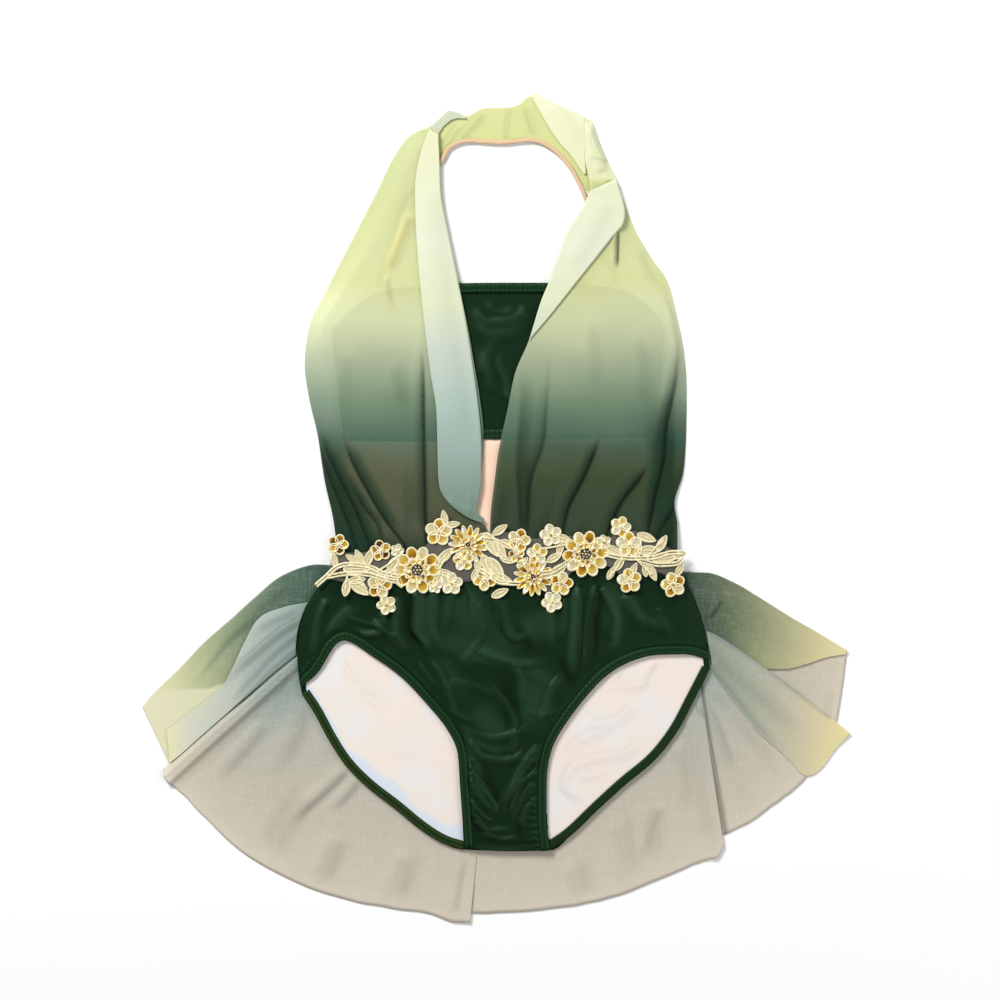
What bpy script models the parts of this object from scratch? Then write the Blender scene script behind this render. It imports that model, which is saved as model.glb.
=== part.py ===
"""Skirted halter leotard, laid out flat on a surface and face up.

Every piece is a wall of cloth, set out in millimetres and built in metres. X runs across the garment, Y runs
from the hem to the neck and Z points up from the surface. The origin is the middle of the garment's box, on the
surface. Each panel is a ruled sheet between its edge A and its edge B, given by a short table of rows.
"""

import math
from collections import namedtuple

import bmesh
import bpy
from mathutils import Vector

# Cloth and layers, in millimetres
WALL = 1.1
SEAM_GAP = 0.4
LAYER = WALL + SEAM_GAP
FLOOR = 0.0
SECOND = LAYER
THIRD = 2 * LAYER
FOURTH = 3 * LAYER
FIFTH = 4 * LAYER

# Driving sizes, in millimetres
WAIST_Y = -48.0
LEG_BAND = 7.0
BANDEAU_BAND = 8.0
STRAP_WIDTH = 4.5
STRAP_WALL = 1.2
ROLL = 4.2
NET_WALL = 1.0
BELT_Z = 8.1
FLOWER_RISE = 2.4
UNDER_BELT = 0.12

# One cross row of a panel: its ends on edge A and edge B, how far its middle bows out sideways, and the shares
# of its length between which the height goes from A's to B's.
Row = namedtuple("Row", "ax ay az bx by bz bow rise_from rise_to", defaults=(0.0, 0.0, 1.0))
# One fold: a rounded ridge that starts full at its first end and dies out at its second.
Fold = namedtuple("Fold", "x0 y0 x1 y1 width height")
# One column of the brief, from the waist seam down to the leg or crotch edge.
Column = namedtuple("Column", "waist_x end_x end_y bow")
Motif = namedtuple("Motif", "kind x y size turn")

DRAPE_LEFT = [Row(*r) for r in (
    # outer edge x, y, z; inner edge x, y, z; bow; rise from, to
    (-53, 326, 1.0, -49, 318, 3.2),
    (-74, 316, 0.0, -48, 297, 3.2, 0, 0, 0.50),
    (-88, 297, 0.0, -47.6, 279, 3.2, 0, 0, 0.40),
    (-101, 270, 0.0, -46, 262, 3.2, 0, 0, 0.35),
    (-116, 241, 0.0, -42, 236, 3.4, 0, 0, 0.30),
    (-142, 190, 0.0, -32, 190, FOURTH, 0, 0, 0.16),
    (-160, 151, 0.0, -24, 151, FOURTH, 0, 0, 0.10),
    (-163, 122, 0.0, -19, 122, FOURTH, 0, 0, 0.13),
    (-159, 92, 0.0, -14, 92, FOURTH, 0, 0, 0.14),
    (-152, 62, 0.3, -11, 62, FOURTH, 0, 0, 0.11),
    (-146, 24, 1.0, -11, 24, FOURTH, 0, 0, 0.08),
    (-139, -8, 2.5, -9, -6, 4.9, 0, 0, 0.06),
    (-135.5, -31, 4.2, -6.4, -31, 5.6, 0, 0, 0.06),
    (-135, -47.6, 4.8, -6.4, -47.6, FIFTH, 0, 0, 0.06),
)]
DRAPE_RIGHT = [Row(*r) for r in (
    (101, 279.5, 0.6, 80, 278, 3.2, 0, 0, 0.50),
    (108, 261, 0.0, 77, 256, 3.2, 0, 0, 0.40),
    (118, 236, 0.0, 64, 238, 3.4, 0, 0, 0.35),
    (132, 212, 0.0, 52, 212, 3.8, 0, 0, 0.25),
    (145, 193, 0.0, 45, 193, FOURTH, 0, 0, 0.16),
    (153.5, 161, 0.0, 36, 170, FOURTH, 0, 0, 0.06),
    (159, 133, 0.0, 27, 141, FOURTH, 0, 0, 0.06),
    (161.5, 99, 0.0, 16, 115, FOURTH, 0, 0, 0.12),
    (161, 62, 0.0, 9, 82, FOURTH, 0, 0, 0.14),
    (158.5, 30, 0.5, 2, 50, FOURTH, 0, 0, 0.11),
    (151, 4, 2.0, -2, 20, FOURTH, 0, 0, 0.05),
    (153.5, -14, 2.6, -5, -6, 4.9, 0, 0, 0.05),
    (153.5, -31, 4.2, -5.6, -31, 5.6, 0, 0, 0.05),
    (153, -47.6, 4.8, -5.6, -47.6, FIFTH, 0, 0, 0.05),
)]
FACING_LEFT = [Row(*r) for r in (
    (-57, 321, 4.8, -49.5, 317, 4.8),
    (-65, 298, 4.8, -48.5, 296.5, 4.8),
    (-69, 269, 4.8, -47.5, 269, 4.8),
    (-68, 233, 5.1, -41, 233, 5.1),
    (-65, 194, FIFTH, -33, 194, FIFTH),
    (-61, 155, FIFTH, -26, 158, FIFTH),
    (-56, 115, FIFTH, -20, 120, FIFTH),
    (-51, 82, FIFTH, -15, 83, FIFTH),
    (-50, 49, FIFTH, -12.5, 49, FIFTH),
    (-49, 22, FIFTH, -12.5, 24, FIFTH),
    (-42, 6, 6.2, -15, 7, 6.2),
    (-26, -7, 6.6, -17, -2, 6.6),
    (-11, -13, 6.8, -10, -9.5, 6.8),
)]
FACING_RIGHT = [Row(*r) for r in (
    (81, 270, 4.8, 101, 276, 4.8),
    (74, 255, 4.8, 108.5, 246.5, 4.8),
    (66, 244, 5.0, 104, 238, 5.0),
    (59, 233, 5.1, 97, 229, 5.1),
    (52, 212, 5.5, 85, 213, 5.5),
    (45, 193, FIFTH, 67, 193, FIFTH),
    (38, 176, FIFTH, 54, 178, FIFTH),
    (33, 160, FIFTH, 44, 163, FIFTH),
    (27.5, 142, FIFTH, 29.5, 145, FIFTH),
)]
NECK_BAND = [Row(*r) for r in (
    (-47, 326, 0.0, -47, 290, 0.0),
    (-39, 333, 0.0, -43, 303, 0.0),
    (-26, 333, 0.0, -35, 311, 0.0),
    (-9, 340, 0.0, -21, 313, 0.0),
    (6, 340, 0.0, 0, 311, 0.0),
    (19, 343, 0.0, 17, 313, 0.0),
    (29, 350, 0.0, 31, 313, 0.0),
    (47, 342, 0.0, 42, 309, 0.0),
    (66, 332, 0.0, 53, 301, 0.0),
    (80, 314, 0.0, 65, 289, 0.0),
    (92, 292, 0.0, 73, 276, 0.0),
)]
NECK_TUCK = [Row(*r) for r in (
    (-52.5, 327, SECOND, -47, 321, SECOND),
    (-48, 331, SECOND, -44, 325, SECOND),
    (-40, 337.5, SECOND, -37, 330, SECOND),
    (-32, 335.5, SECOND, -31, 331, SECOND),
    (-25.5, 332, SECOND, -26, 330.5, SECOND),
)]
NECK_FLAP = [Row(*r) for r in (
    (29.5, 350.5, SECOND, 33, 352.7, SECOND),
    (38, 335, SECOND, 57, 340, SECOND),
    (46, 321, SECOND, 75, 331, SECOND),
    (54.5, 309, SECOND, 75.5, 314, SECOND),
    (64, 298.5, SECOND, 75, 299, SECOND),
    (74.5, 283, SECOND, 76, 284, SECOND),
)]
SHOULDER_ROLL = [Row(*r) for r in (
    (77, 331, SECOND, 80.5, 329.5, 0.6),
    (77, 313, SECOND, 88, 309, 0.0, 0, 0.45),
    (77, 297, SECOND, 94.5, 294, 0.0, 0, 0.75),
    (78.5, 281.4, SECOND, 101.5, 281, 0.3, 0, 0.65),
)]
STRAP = (
    # centre line x, y, underside z
    (-100.5, 190, 1.5), (-98, 199, 0.8), (-92, 219, 0.0), (-80, 258, 0.0), (-64, 279, 0.0), (-56, 285.5, 0.6),
    (-50.5, 290, 1.5), (-45.5, 297, 1.5), (-39, 307, 1.5), (-23, 312, 1.5), (3, 310.5, 1.5), (28, 312.5, 1.5), (44, 307.5, 1.5),
    (58, 295.5, 1.5), (68.5, 279, 1.5), (77, 260, 0.6), (88, 228, 0.0), (99, 199, 0.8), (102, 190, 1.5),
)
BANDEAU = [Row(*r) for r in (
    # top edge x, y, z; bottom edge x, y, z
    (-140, 150, 0, -130, 59, 0),
    (-124, 167, 0, -121, 58.5, 0),
    (-102, 182, 0, -101, 58, 0),
    (-70, 188, 0, -70, 58, 0),
    (-35, 190.5, 0, -35, 58.5, 0),
    (3, 191, 0, 2, 59, 0),
    (40, 191, 0, 38, 59.5, 0),
    (78, 189, 0, 75, 60, 0),
    (112, 183, 0, 105, 60.5, 0),
    (133, 167, 0, 124, 61, 0),
    (143, 149, 0, 133, 61.5, 0),
)]
MIDRIFF = [Row(*r) for r in (
    (-129.5, 57.9, 0, -128, -47.4, 0),
    (-70, 57.2, 0, -70, -47.4, 0),
    (2, 58.1, 0, 8, -47.4, 0),
    (70, 58.9, 0, 78, -47.4, 0),
    (132.5, 60.5, 0, 146, -47.4, 0),
)]
BRIEF_FRONT = [Column(*c) for c in (
    # waist x; leg or crotch edge x, y; sideways bow
    (-135, -165, -152, -16), (-127, -151, -139, -12), (-117, -130, -112, -8), (-102, -103, -127, -4),
    (-85, -81, -143, 0), (-66, -60, -165, 0), (-48, -43, -186, 0), (-36, -33, -208, 0), (-27, -31, -235, 0),
    (-19, -29, -262, 0), (-10, -27, -288, 0), (8, 8, -291, 0), (25, 45.5, -290, -4), (34, 42.5, -262, 0),
    (44, 42.5, -235, 0), (55, 46, -208, 0), (68, 60, -181, 0), (85, 88, -147, 0), (103, 112, -131, 0),
    (122, 138, -124.5, 1), (140, 160, -124, 3), (153, 180, -129, 5),
)]
FRONT_LEFT_LEG = slice(0, 11)
FRONT_RIGHT_LEG = slice(12, 22)
BRIEF_BACK = [Column(*c) for c in (
    (-135, -165, -158, -16), (-118, -155, -173, -12), (-100, -142, -197, -8), (-82, -128, -218, -4),
    (-66, -109, -237, -1), (-50, -87, -254, 0), (-34, -65, -272, 0), (-20, -46, -284, 0), (-8, -28, -290, 0),
    (8, 8, -291, 0), (24, 44, -291, 0), (36, 64, -277, 0), (52, 86, -256, 0), (70, 109, -235, 0),
    (88, 134, -214, 0), (106, 153, -190, 1), (128, 168, -162, 3), (153, 181, -137, 5),
)]
BACK_LEFT_LEG = slice(0, 9)
BACK_RIGHT_LEG = slice(10, 18)
BRIEF_LINING = [Column(*c) for c in (
    (-118, -147, -163, -8), (-100, -135, -188, -5), (-82, -121, -211, -3), (-66, -103, -230, -1),
    (-50, -82, -247, 0), (-34, -60, -264, 0), (-20, -42, -275.5, 0), (-8, -25, -281.5, 0), (8, 8, -283, 0),
    (24, 40, -280.5, 0), (36, 57, -269, 0), (52, 80, -249, 0), (70, 102, -228.5, 0), (88, 126.5, -208, 0),
    (106, 144, -186, 1), (126, 158, -163, 2),
)]
SKIRT_BACK_LEFT = [Row(*r) for r in (
    # waist end x, y, z; hem end x, y, z; bow; rise from, to
    (-172, -126, 0, -284, -226, 0),
    (-171, -129, 0, -282, -229, ROLL, 0, 0, 0.2),
    (-169.5, -133, 0, -279, -232.5, ROLL, 0, 0, 0.2),
    (-168, -138, 0, -274.5, -236.5, 1.0, 0, 0, 0.2),
    (-163, -143, 0, -266, -244, 0),
    (-150, -130, 0, -245, -266, 0),
    (-120, -80, 0, -213, -295, 0),
    (-96, -50, 0, -175, -316, 0),
    (-75, -49, 0, -135, -331, 0),
    (-52, -49, 0, -95, -339.5, 0),
    (-28, -49, 0, -58, -345, 0, 0, 0.84, 0.95),
    (-8, -49, 0, -35, -352, 0.6, 0, 0.84, 0.95),
    (7.6, -49, 0, -22.4, -352.5, 1.6, 0, 0.84, 0.95),
)]
SKIRT_BACK_RIGHT = [Row(*r) for r in (
    (8.4, -49, 0, -20.6, -344.5, 0),
    (24, -49, 0, 8, -344, 0),
    (42, -49, 0, 40, -341.5, 0),
    (60, -49, 0, 73, -337, 0),
    (78, -49, 0, 105, -329, 0),
    (96, -50, 0, 138, -316, 0),
    (118, -54, 0, 166, -304, 0, 0, 0.55, 0.8),
    (140, -62, 0, 178, -299.5, 0.4, 0, 0.55, 0.8),
    (156, -80, 0, 187, -297, 1.8, 0, 0.55, 0.8),
    (165.4, -100, 0, 193, -287, 2.0, 0, 0.5, 0.8),
)]
SKIRT_SIDE_RIGHT = [Row(*r) for r in (
    (166.2, -100, 0, 194, -281, 0),
    (164.5, -92, 0, 214, -268, 0),
    (162.5, -84, 0, 235, -253, 0),
    (160.5, -77, 0, 257, -236, 0),
    (158.5, -71, 0, 275, -214, 0),
    (156.5, -66, 0, 287, -190, 0),
    (154.5, -61, 0, 293, -160, 0),
    (152.5, -56, 0, 298, -122, 0),
)]
SKIRT_FRONT_LEFT = [Row(*r) for r in (
    (-130, -50, 0, -160, -114, 0),
    (-152, -48, 0, -175, -125.6, 0),
    (-182, -57.5, 0, -191, -141, 0),
    (-205, -76, 0, -207, -155, 0),
    (-226, -95, 0, -223, -169, 0),
    (-248, -114, 0, -239, -183.5, 0),
    (-269, -136, 0, -255, -198, 0),
    (-290, -156, 0, -268, -209.5, 0),
    (-301, -169, 0, -278, -218, 0),
)]
SKIRT_TURN_LEFT = [Row(*r) for r in (
    (-159.6, -80, SECOND, -170.3, -124.6, SECOND, -3.2),
    (-180, -84, SECOND, -186, -137, SECOND),
    (-201, -93, SECOND, -204, -152.5, SECOND),
    (-214, -114, SECOND, -221, -167.5, SECOND),
    (-231, -149, SECOND, -237, -181.5, SECOND),
    (-250, -166, SECOND, -254, -196.5, SECOND),
    (-268, -180, SECOND, -269, -210, SECOND),
    (-280, -189, SECOND, -277.5, -216.5, SECOND),
)]
SKIRT_FRONT_RIGHT = [Row(*r) for r in (
    (157.8, -54.4, SECOND, 177.1, -104.6, SECOND, 2.0),
    (179, -55, SECOND, 190, -112, SECOND),
    (203, -64, SECOND, 203, -121, SECOND),
    (220, -74, SECOND, 216, -129, SECOND),
    (236, -84, SECOND, 228, -137, SECOND),
    (252, -94, SECOND, 245, -137, SECOND),
    (268, -103, SECOND, 262, -133, SECOND),
    (283, -112, SECOND, 280, -127, SECOND),
    (298, -121, SECOND, 297, -124, SECOND),
)]
SKIRT_TURN_RIGHT = [Row(*r) for r in (
    (178, -104, THIRD, 184, -139, THIRD),
    (193, -111, THIRD, 193, -153, 2.4),
    (209, -122, THIRD, 206, -175, SECOND, 0, 0.2, 0.5),
    (225, -133.5, THIRD, 221, -190, SECOND, 0, 0.2, 0.5),
    (241, -145, 2.4, 236, -203, SECOND, 0, 0.2, 0.5),
    (257, -157, SECOND, 250, -216, SECOND),
    (272, -169, SECOND, 263, -228, SECOND),
    (286, -179.5, SECOND, 275, -222, SECOND),
    (300.5, -191.5, SECOND, 289, -203.5, SECOND),
)]
NET = [Row(*r) for r in (
    # lower edge x, y, z; upper edge x, y, z
    (-149, -69, BELT_Z, -142, -30, BELT_Z),
    (-128, -74, BELT_Z, -122, -36, BELT_Z),
    (-98, -86, BELT_Z, -92, -33, BELT_Z),
    (-72, -74, BELT_Z, -62, -24, BELT_Z),
    (-46, -76, BELT_Z, -40, -14, BELT_Z),
    (-20, -74, BELT_Z, -14, -20, BELT_Z),
    (8, -77, BELT_Z, 12, -22, BELT_Z),
    (38, -84, BELT_Z, 42, -20, BELT_Z),
    (60, -76, BELT_Z, 66, -25, BELT_Z),
    (88, -64, BELT_Z, 92, -27, BELT_Z),
    (116, -72, BELT_Z, 118, -22, BELT_Z),
    (144, -76, BELT_Z, 146, -28, BELT_Z),
    (162, -60, BELT_Z, 162, -44, BELT_Z),
)]
MOTIFS = [Motif(*m) for m in (
    # kind, centre x, y, radius or half length, turn in degrees
    ("bloom", -67, -56, 18, 0), ("bloom", -24, -34, 16, 10), ("bloom", 31, -62, 16, 25), ("bloom", 75, -45, 18, 5),
    ("flower", -135, -33, 9, 0), ("flower", -98, -38, 9, 30), ("flower", -48, -27, 11, 12),
    ("flower", -99, -73, 10.5, 8), ("flower", -93, -87, 8, 40), ("flower", -40, -69, 10, 15),
    ("flower", -29, -54, 9, 22), ("flower", -10, -66, 10, 50), ("flower", 19, -34, 10.5, 0),
    ("flower", 36, -42, 8, 20), ("flower", 47, -26, 9, 30), ("flower", 55, -70, 9.5, 5),
    ("flower", 46, -85, 8.5, 44), ("flower", 106, -18, 8.5, 0), ("flower", 111, -34, 10.5, 18),
    ("flower", 113, -65, 10, 26), ("flower", 149, -70, 10, 33), ("flower", 93, -32, 7, 33),
    ("leaf", -144, -61, 14, 38), ("leaf", -120, -53, 17, 4), ("leaf", -95, -58, 13, -14),
    ("leaf", -118, -43, 9, 115), ("leaf", -108, -42, 8, 50), ("leaf", -127, -70, 8, 80),
    ("leaf", -114, -71, 10, -35), ("leaf", -86, -50, 11, 55), ("leaf", -44, -13, 8, 100),
    ("leaf", -35, -19, 8, 10), ("leaf", 3, -22, 8, 40), ("leaf", 0, -36, 13, -35), ("leaf", -9, -48, 9, -70),
    ("leaf", 4, -57, 15, -42), ("leaf", 2, -78, 9, 25), ("leaf", 14, -72, 9, 5), ("leaf", 50, -54, 12, 38),
    ("leaf", 101, -46, 13, -8), ("leaf", 124, -48, 13, -6), ("leaf", 146, -47, 14, 4), ("leaf", 98, -57, 9, 55),
    ("leaf", 131, -33, 10, -20), ("leaf", 143, -32, 8, 80), ("leaf", 129, -57, 9, -60), ("leaf", 159, -52, 9, -75),
)]

DRAPE_LEFT_FOLDS = [Fold(*f) for f in (
    # start x, y; end x, y; width; height
    (-84, -44, -138, 66, 11, 3.6),
    (-99, -44, -147, 78, 10, 3.0),
    (-112, -44, -150, 40, 9, 2.4),
    (-70, -44, -112, 52, 10, 2.4),
    (-63, -44, -65, 120, 9, 3.2),
    (-72, -20, -86, 60, 9, 1.8),
    (-101, 168, -110, 216, 10, 2.2),
)]
DRAPE_RIGHT_FOLDS = [Fold(*f) for f in (
    (22, -44, 34, 140, 10, 3.4),
    (44, -44, 62, 30, 9, 2.2),
    (57, -44, 90, 64, 10, 3.4),
    (88, -44, 122, 34, 10, 3.2),
    (74, -44, 84, 30, 9, 2.0),
    (8, -44, 20, 60, 9, 2.0),
    (128, -44, 146, 130, 12, 4.0),
    (140, -44, 156, 90, 9, 2.4),
    (104, 190, 106, 224, 9, 2.2),
)]
BANDEAU_FOLDS = [Fold(*f) for f in (
    (-4, 78, 16, 168, 9, 2.2),
    (-18, 160, 24, 150, 10, 1.6),
    (-14, 150, -8, 96, 9, 1.8),
)]
BRIEF_FOLDS = [Fold(*f) for f in (
    (-70, -50, -92, -128, 12, 2.6),
    (-56, -50, -50, -140, 11, 3.0),
    (-28, -50, -34, -150, 12, 2.0),
    (-2, -50, 10, -190, 14, 2.2),
    (26, -50, 16, -180, 12, 2.0),
    (58, -50, 52, -150, 12, 3.4),
    (78, -50, 98, -120, 12, 2.6),
    (-90, -50, -112, -104, 11, 2.0),
    (108, -50, 128, -108, 12, 1.8),
    (8, -264, 26, -190, 9, 2.2),
    (6, -276, -12, -210, 9, 1.8),
)]
TURN_LEFT_FOLDS = [Fold(*f) for f in (
    (-170, -94, -262, -186, 15, 3.4),
    (-172, -112, -250, -182, 11, 2.2),
)]
FRONT_LEFT_FOLDS = [Fold(*f) for f in (
    (-206, -83, -286, -160, 13, 2.2),
)]
FRONT_RIGHT_FOLDS = [Fold(*f) for f in (
    (176, -74, 288, -118, 18, 2.6),
    (190, -66, 180, -98, 8, 1.8),
)]
TURN_RIGHT_FOLDS = [Fold(*f) for f in (
    (188, -122, 286, -196, 18, 3.2),
    (190, -134, 262, -218, 13, 2.0),
)]
SIDE_RIGHT_FOLDS = [Fold(*f) for f in (
    (214, -262, 196, -196, 12, 2.4),
    (236, -246, 214, -204, 12, 2.0),
)]
BACK_LEFT_FOLDS = [Fold(*f) for f in (
    (-142, -316, -112, -262, 16, 2.6),
    (-194, -292, -136, -226, 14, 3.0),
    (-232, -268, -168, -196, 12, 2.2),
    (-64, -338, -60, -304, 12, 1.8),
)]
BACK_RIGHT_FOLDS = [Fold(*f) for f in (
    (60, -338, 65, -303, 12, 2.0),
    (150, -300, 150, -240, 12, 2.6),
    (118, -318, 112, -266, 14, 2.0),
)]
ROLL_FOLDS = [Fold(79, 326, 90, 282, 6, 3.6), Fold(91, 280, 80, 322, 8, 4.2)]
NECK_FOLDS = [Fold(-33, 310, -10, 338, 7, 1.8), Fold(12, 342, 10, 312, 6, 1.2)]

GREEN = (0.012, 0.055, 0.024)
LINING = (0.84, 0.76, 0.72)
NUDE = (0.83, 0.53, 0.36)
MESH_GREEN = (0.10, 0.22, 0.13)
MESH_LIME = (0.72, 0.78, 0.35)
MESH_PALE = (0.52, 0.60, 0.53)
MESH_TAUPE = (0.48, 0.44, 0.36)
GOLD = (0.78, 0.62, 0.25)


def clear_scene():
    for obj in list(bpy.data.objects):
        bpy.data.objects.remove(obj)


def new_collection(name, hidden=False):
    made = bpy.data.collections.new(name)
    made.hide_render = hidden
    bpy.context.scene.collection.children.link(made)
    return made


def finish_of(name, colour, roughness, metallic=0.0):
    material = bpy.data.materials.new(name)
    material.use_nodes = True
    shader = material.node_tree.nodes["Principled BSDF"]
    shader.inputs["Base Color"].default_value = (*colour, 1.0)
    shader.inputs["Roughness"].default_value = roughness
    shader.inputs["Metallic"].default_value = metallic
    return material


def ease(share):
    share = min(max(share, 0.0), 1.0)
    return share * share * (3 - 2 * share)


def slope(values, i):
    """The slope of a smooth line at one of its values, kept low enough that it never overshoots the next."""
    before = values[i] - values[max(i - 1, 0)]
    after = values[min(i + 1, len(values) - 1)] - values[i]
    if i in (0, len(values) - 1):
        return before + after
    if before * after <= 0:
        return 0.0
    return math.copysign(min(abs(before + after) / 2, 2 * abs(before), 2 * abs(after)), before)


def through(values, share):
    """A smooth value through equally spaced ones, at a share of the way from the first to the last."""
    span = share * (len(values) - 1)
    i = min(int(span), len(values) - 2)
    f = span - i
    start, end = values[i], values[i + 1]
    leave, arrive = slope(values, i), slope(values, i + 1)
    return (
        start * (2 * f**3 - 3 * f**2 + 1)
        + end * (3 * f**2 - 2 * f**3)
        + leave * (f**3 - 2 * f**2 + f)
        + arrive * (f**3 - f**2)
    )


def place(rows, s, t):
    """The point of a ruled sheet at share s along its rows and share t from edge A to edge B."""
    row = Row(*(through([r[k] for r in rows], s) for k in range(len(Row._fields))))
    across = Vector((row.bx - row.ax, row.by - row.ay))
    side = Vector((-across.y, across.x)).normalized() if across.length else Vector((0, 0))
    bulge = abs(row.bow) * 4 * t * (1 - t) * (1 if side.x * row.bow >= 0 else -1)
    height = row.az + (row.bz - row.az) * min(max((t - row.rise_from) / (row.rise_to - row.rise_from), 0), 1)
    return Vector((row.ax + across.x * t + side.x * bulge, row.ay + across.y * t + side.y * bulge, height))


def fold_height(folds, x, y):
    """The height of the tallest fold at a point."""
    tallest = 0.0
    for fold in folds:
        start, end = Vector((fold.x0, fold.y0)), Vector((fold.x1, fold.y1))
        run = end - start
        offset = Vector((x, y)) - start
        along = offset.dot(run) / run.length_squared
        away = abs(offset.cross(run)) / run.length
        if 0 < along < 1 and away < fold.width:
            ridge = math.cos(math.pi * away / fold.width / 2) ** 2
            taper = ease(along / 0.12) * ease((1 - along) / 0.6)
            tallest = max(tallest, fold.height * ridge * taper)
    return tallest


def under_belt(x, y, fade=26.0):
    """How much of a fold is left: little of it under the belt, and all of it a little way above or below."""
    away = max(y - (-14.0), -82.0 - y, 0.0)
    return UNDER_BELT + (1 - UNDER_BELT) * ease(away / fade)


def cloth(name, rows, along, across, material, folds=(), keep=None, wall=WALL, lift=0.0):
    """A wall of cloth: a grid laid over the rows, raised by its folds and given its thickness."""
    bm = bmesh.new()
    bmesh.ops.create_grid(bm, x_segments=along, y_segments=across, size=0.5)
    for vert in bm.verts:
        s, t = vert.co.x + 0.5, vert.co.y + 0.5
        point = place(rows, s, t)
        raised = fold_height(folds, point.x, point.y)
        if keep:
            raised *= keep(point.x, point.y)
        point.z += raised + lift
        vert.co = point / 1000
    bm.normal_update()
    if sum(face.normal.z * face.calc_area() for face in bm.faces) < 0:
        bmesh.ops.reverse_faces(bm, faces=bm.faces)
    mesh = bpy.data.meshes.new(name)
    bm.to_mesh(mesh)
    bm.free()
    mesh.materials.append(material)
    mesh.shade_smooth()
    obj = bpy.data.objects.new(name, mesh)
    garment.objects.link(obj)
    solid = obj.modifiers.new("wall", "SOLIDIFY")
    solid.thickness = wall / 1000
    solid.offset = 1.0
    return obj


def beside(points, distance):
    """The points moved sideways, to the left of their direction of travel."""
    moved = []
    for i, (x, y) in enumerate(points):
        x0, y0 = points[max(i - 1, 0)]
        x1, y1 = points[min(i + 1, len(points) - 1)]
        length = math.hypot(x1 - x0, y1 - y0)
        moved.append((x - (y1 - y0) / length * distance, y + (x1 - x0) / length * distance))
    return moved


def band(name, points, inset, width, z, along, material, wall=WALL):
    """A flat strip that follows an edge, its near side inset from it."""
    near = beside(points, inset)
    far = beside(points, inset + width)
    rows = [Row(*a, z, *b, z) for a, b in zip(near, far)]
    return cloth(name, rows, along, 1, material, wall=wall)


def brief_rows(columns, waist_y, waist_z, end_z, side_z, rise_to=1.0):
    """Rows from the waist to the leg edge. The first and last, at the side seams, lie at side_z."""
    last = len(columns) - 1
    return [
        Row(
            c.waist_x, waist_y, side_z if i in (0, last) else waist_z,
            c.end_x, c.end_y, side_z if i in (0, last) else end_z,
            c.bow, 0.0, rise_to,
        )
        for i, c in enumerate(columns)
    ]


def edge_of(columns, part):
    return [(c.end_x, c.end_y) for c in columns[part]]


def build_skirt():
    right_side = finish_of("printed mesh, right side", MESH_GREEN, 0.8)
    wrong_side = finish_of("printed mesh, wrong side", MESH_TAUPE, 0.85)
    turned = finish_of("printed mesh, turned back", MESH_PALE, 0.85)
    cloth("skirt_back_left", SKIRT_BACK_LEFT, 24, 9, wrong_side, BACK_LEFT_FOLDS)
    cloth("skirt_back_right", SKIRT_BACK_RIGHT, 18, 8, wrong_side, BACK_RIGHT_FOLDS)
    cloth("skirt_side_right", SKIRT_SIDE_RIGHT, 14, 7, wrong_side, SIDE_RIGHT_FOLDS)
    cloth("skirt_front_left", SKIRT_FRONT_LEFT, 14, 4, right_side, FRONT_LEFT_FOLDS, keep=clear_of_turn)
    cloth("skirt_turn_left", SKIRT_TURN_LEFT, 14, 6, turned, TURN_LEFT_FOLDS)
    cloth("skirt_front_right", SKIRT_FRONT_RIGHT, 14, 5, right_side, FRONT_RIGHT_FOLDS, keep=clear_of_right_turn)
    cloth("skirt_turn_right", SKIRT_TURN_RIGHT, 14, 6, turned, TURN_RIGHT_FOLDS)


def clear_of_turn(x, y):
    """The left front is flat where the turned-back part lies on it."""
    upper_edge = -93.0 + 0.95 * (x + 201.0) if x < -201 else -93.0
    return ease((y - upper_edge - 6.0) / 10.0)


def clear_of_right_turn(x, y):
    """The right front is flat under the turned-back part."""
    upper_edge = -104.0 - 0.7 * (x - 178.0)
    return ease((y - upper_edge - 6.0) / 10.0)


def build_brief():
    green = finish_of("green lycra", GREEN, 0.45)
    green_band = finish_of("green elastic casing", GREEN, 0.6)
    white = finish_of("white lining", LINING, 0.8)
    back = brief_rows(BRIEF_BACK, WAIST_Y - 1.0, SECOND, SECOND, SECOND)
    cloth("brief_back", back, 32, 4, green)
    left, right = edge_of(BRIEF_BACK, BACK_LEFT_LEG), edge_of(BRIEF_BACK, BACK_RIGHT_LEG)
    band("leg_band_back_left", left, 0.0, LEG_BAND, THIRD, 16, green_band)
    band("leg_band_back_right", right, 0.0, LEG_BAND, THIRD, 14, green_band)
    lining = brief_rows(BRIEF_LINING, WAIST_Y - 1.0, THIRD, THIRD, THIRD)
    cloth("brief_lining", lining, 30, 4, white)
    front = brief_rows(BRIEF_FRONT, WAIST_Y - 0.4, FIFTH, FOURTH, THIRD, rise_to=0.45)
    cloth("brief_front", front, 40, 8, green, BRIEF_FOLDS, keep=on_brief)
    left, right = edge_of(BRIEF_FRONT, FRONT_LEFT_LEG), edge_of(BRIEF_FRONT, FRONT_RIGHT_LEG)
    band("leg_band_front_left", left[1:], 0.3, LEG_BAND, FIFTH, 18, green_band)
    band("leg_band_front_right", right[:-1], 0.3, LEG_BAND, FIFTH, 16, green_band)


def on_brief(x, y):
    """Folds lie flat under the belt and along the leg bands."""
    edge = min(
        math.hypot(x - px, y - py)
        for leg in (FRONT_LEFT_LEG, FRONT_RIGHT_LEG)
        for px, py in denser(edge_of(BRIEF_FRONT, leg))
    )
    return under_belt(x, y, 18.0) * ease((edge - LEG_BAND - 5.0) / 10.0)


def denser(points, steps=4):
    """The points of an edge, with steps between each two."""
    return [
        (a[0] + (b[0] - a[0]) * k / steps, a[1] + (b[1] - a[1]) * k / steps)
        for a, b in zip(points, points[1:])
        for k in range(steps)
    ]


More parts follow.
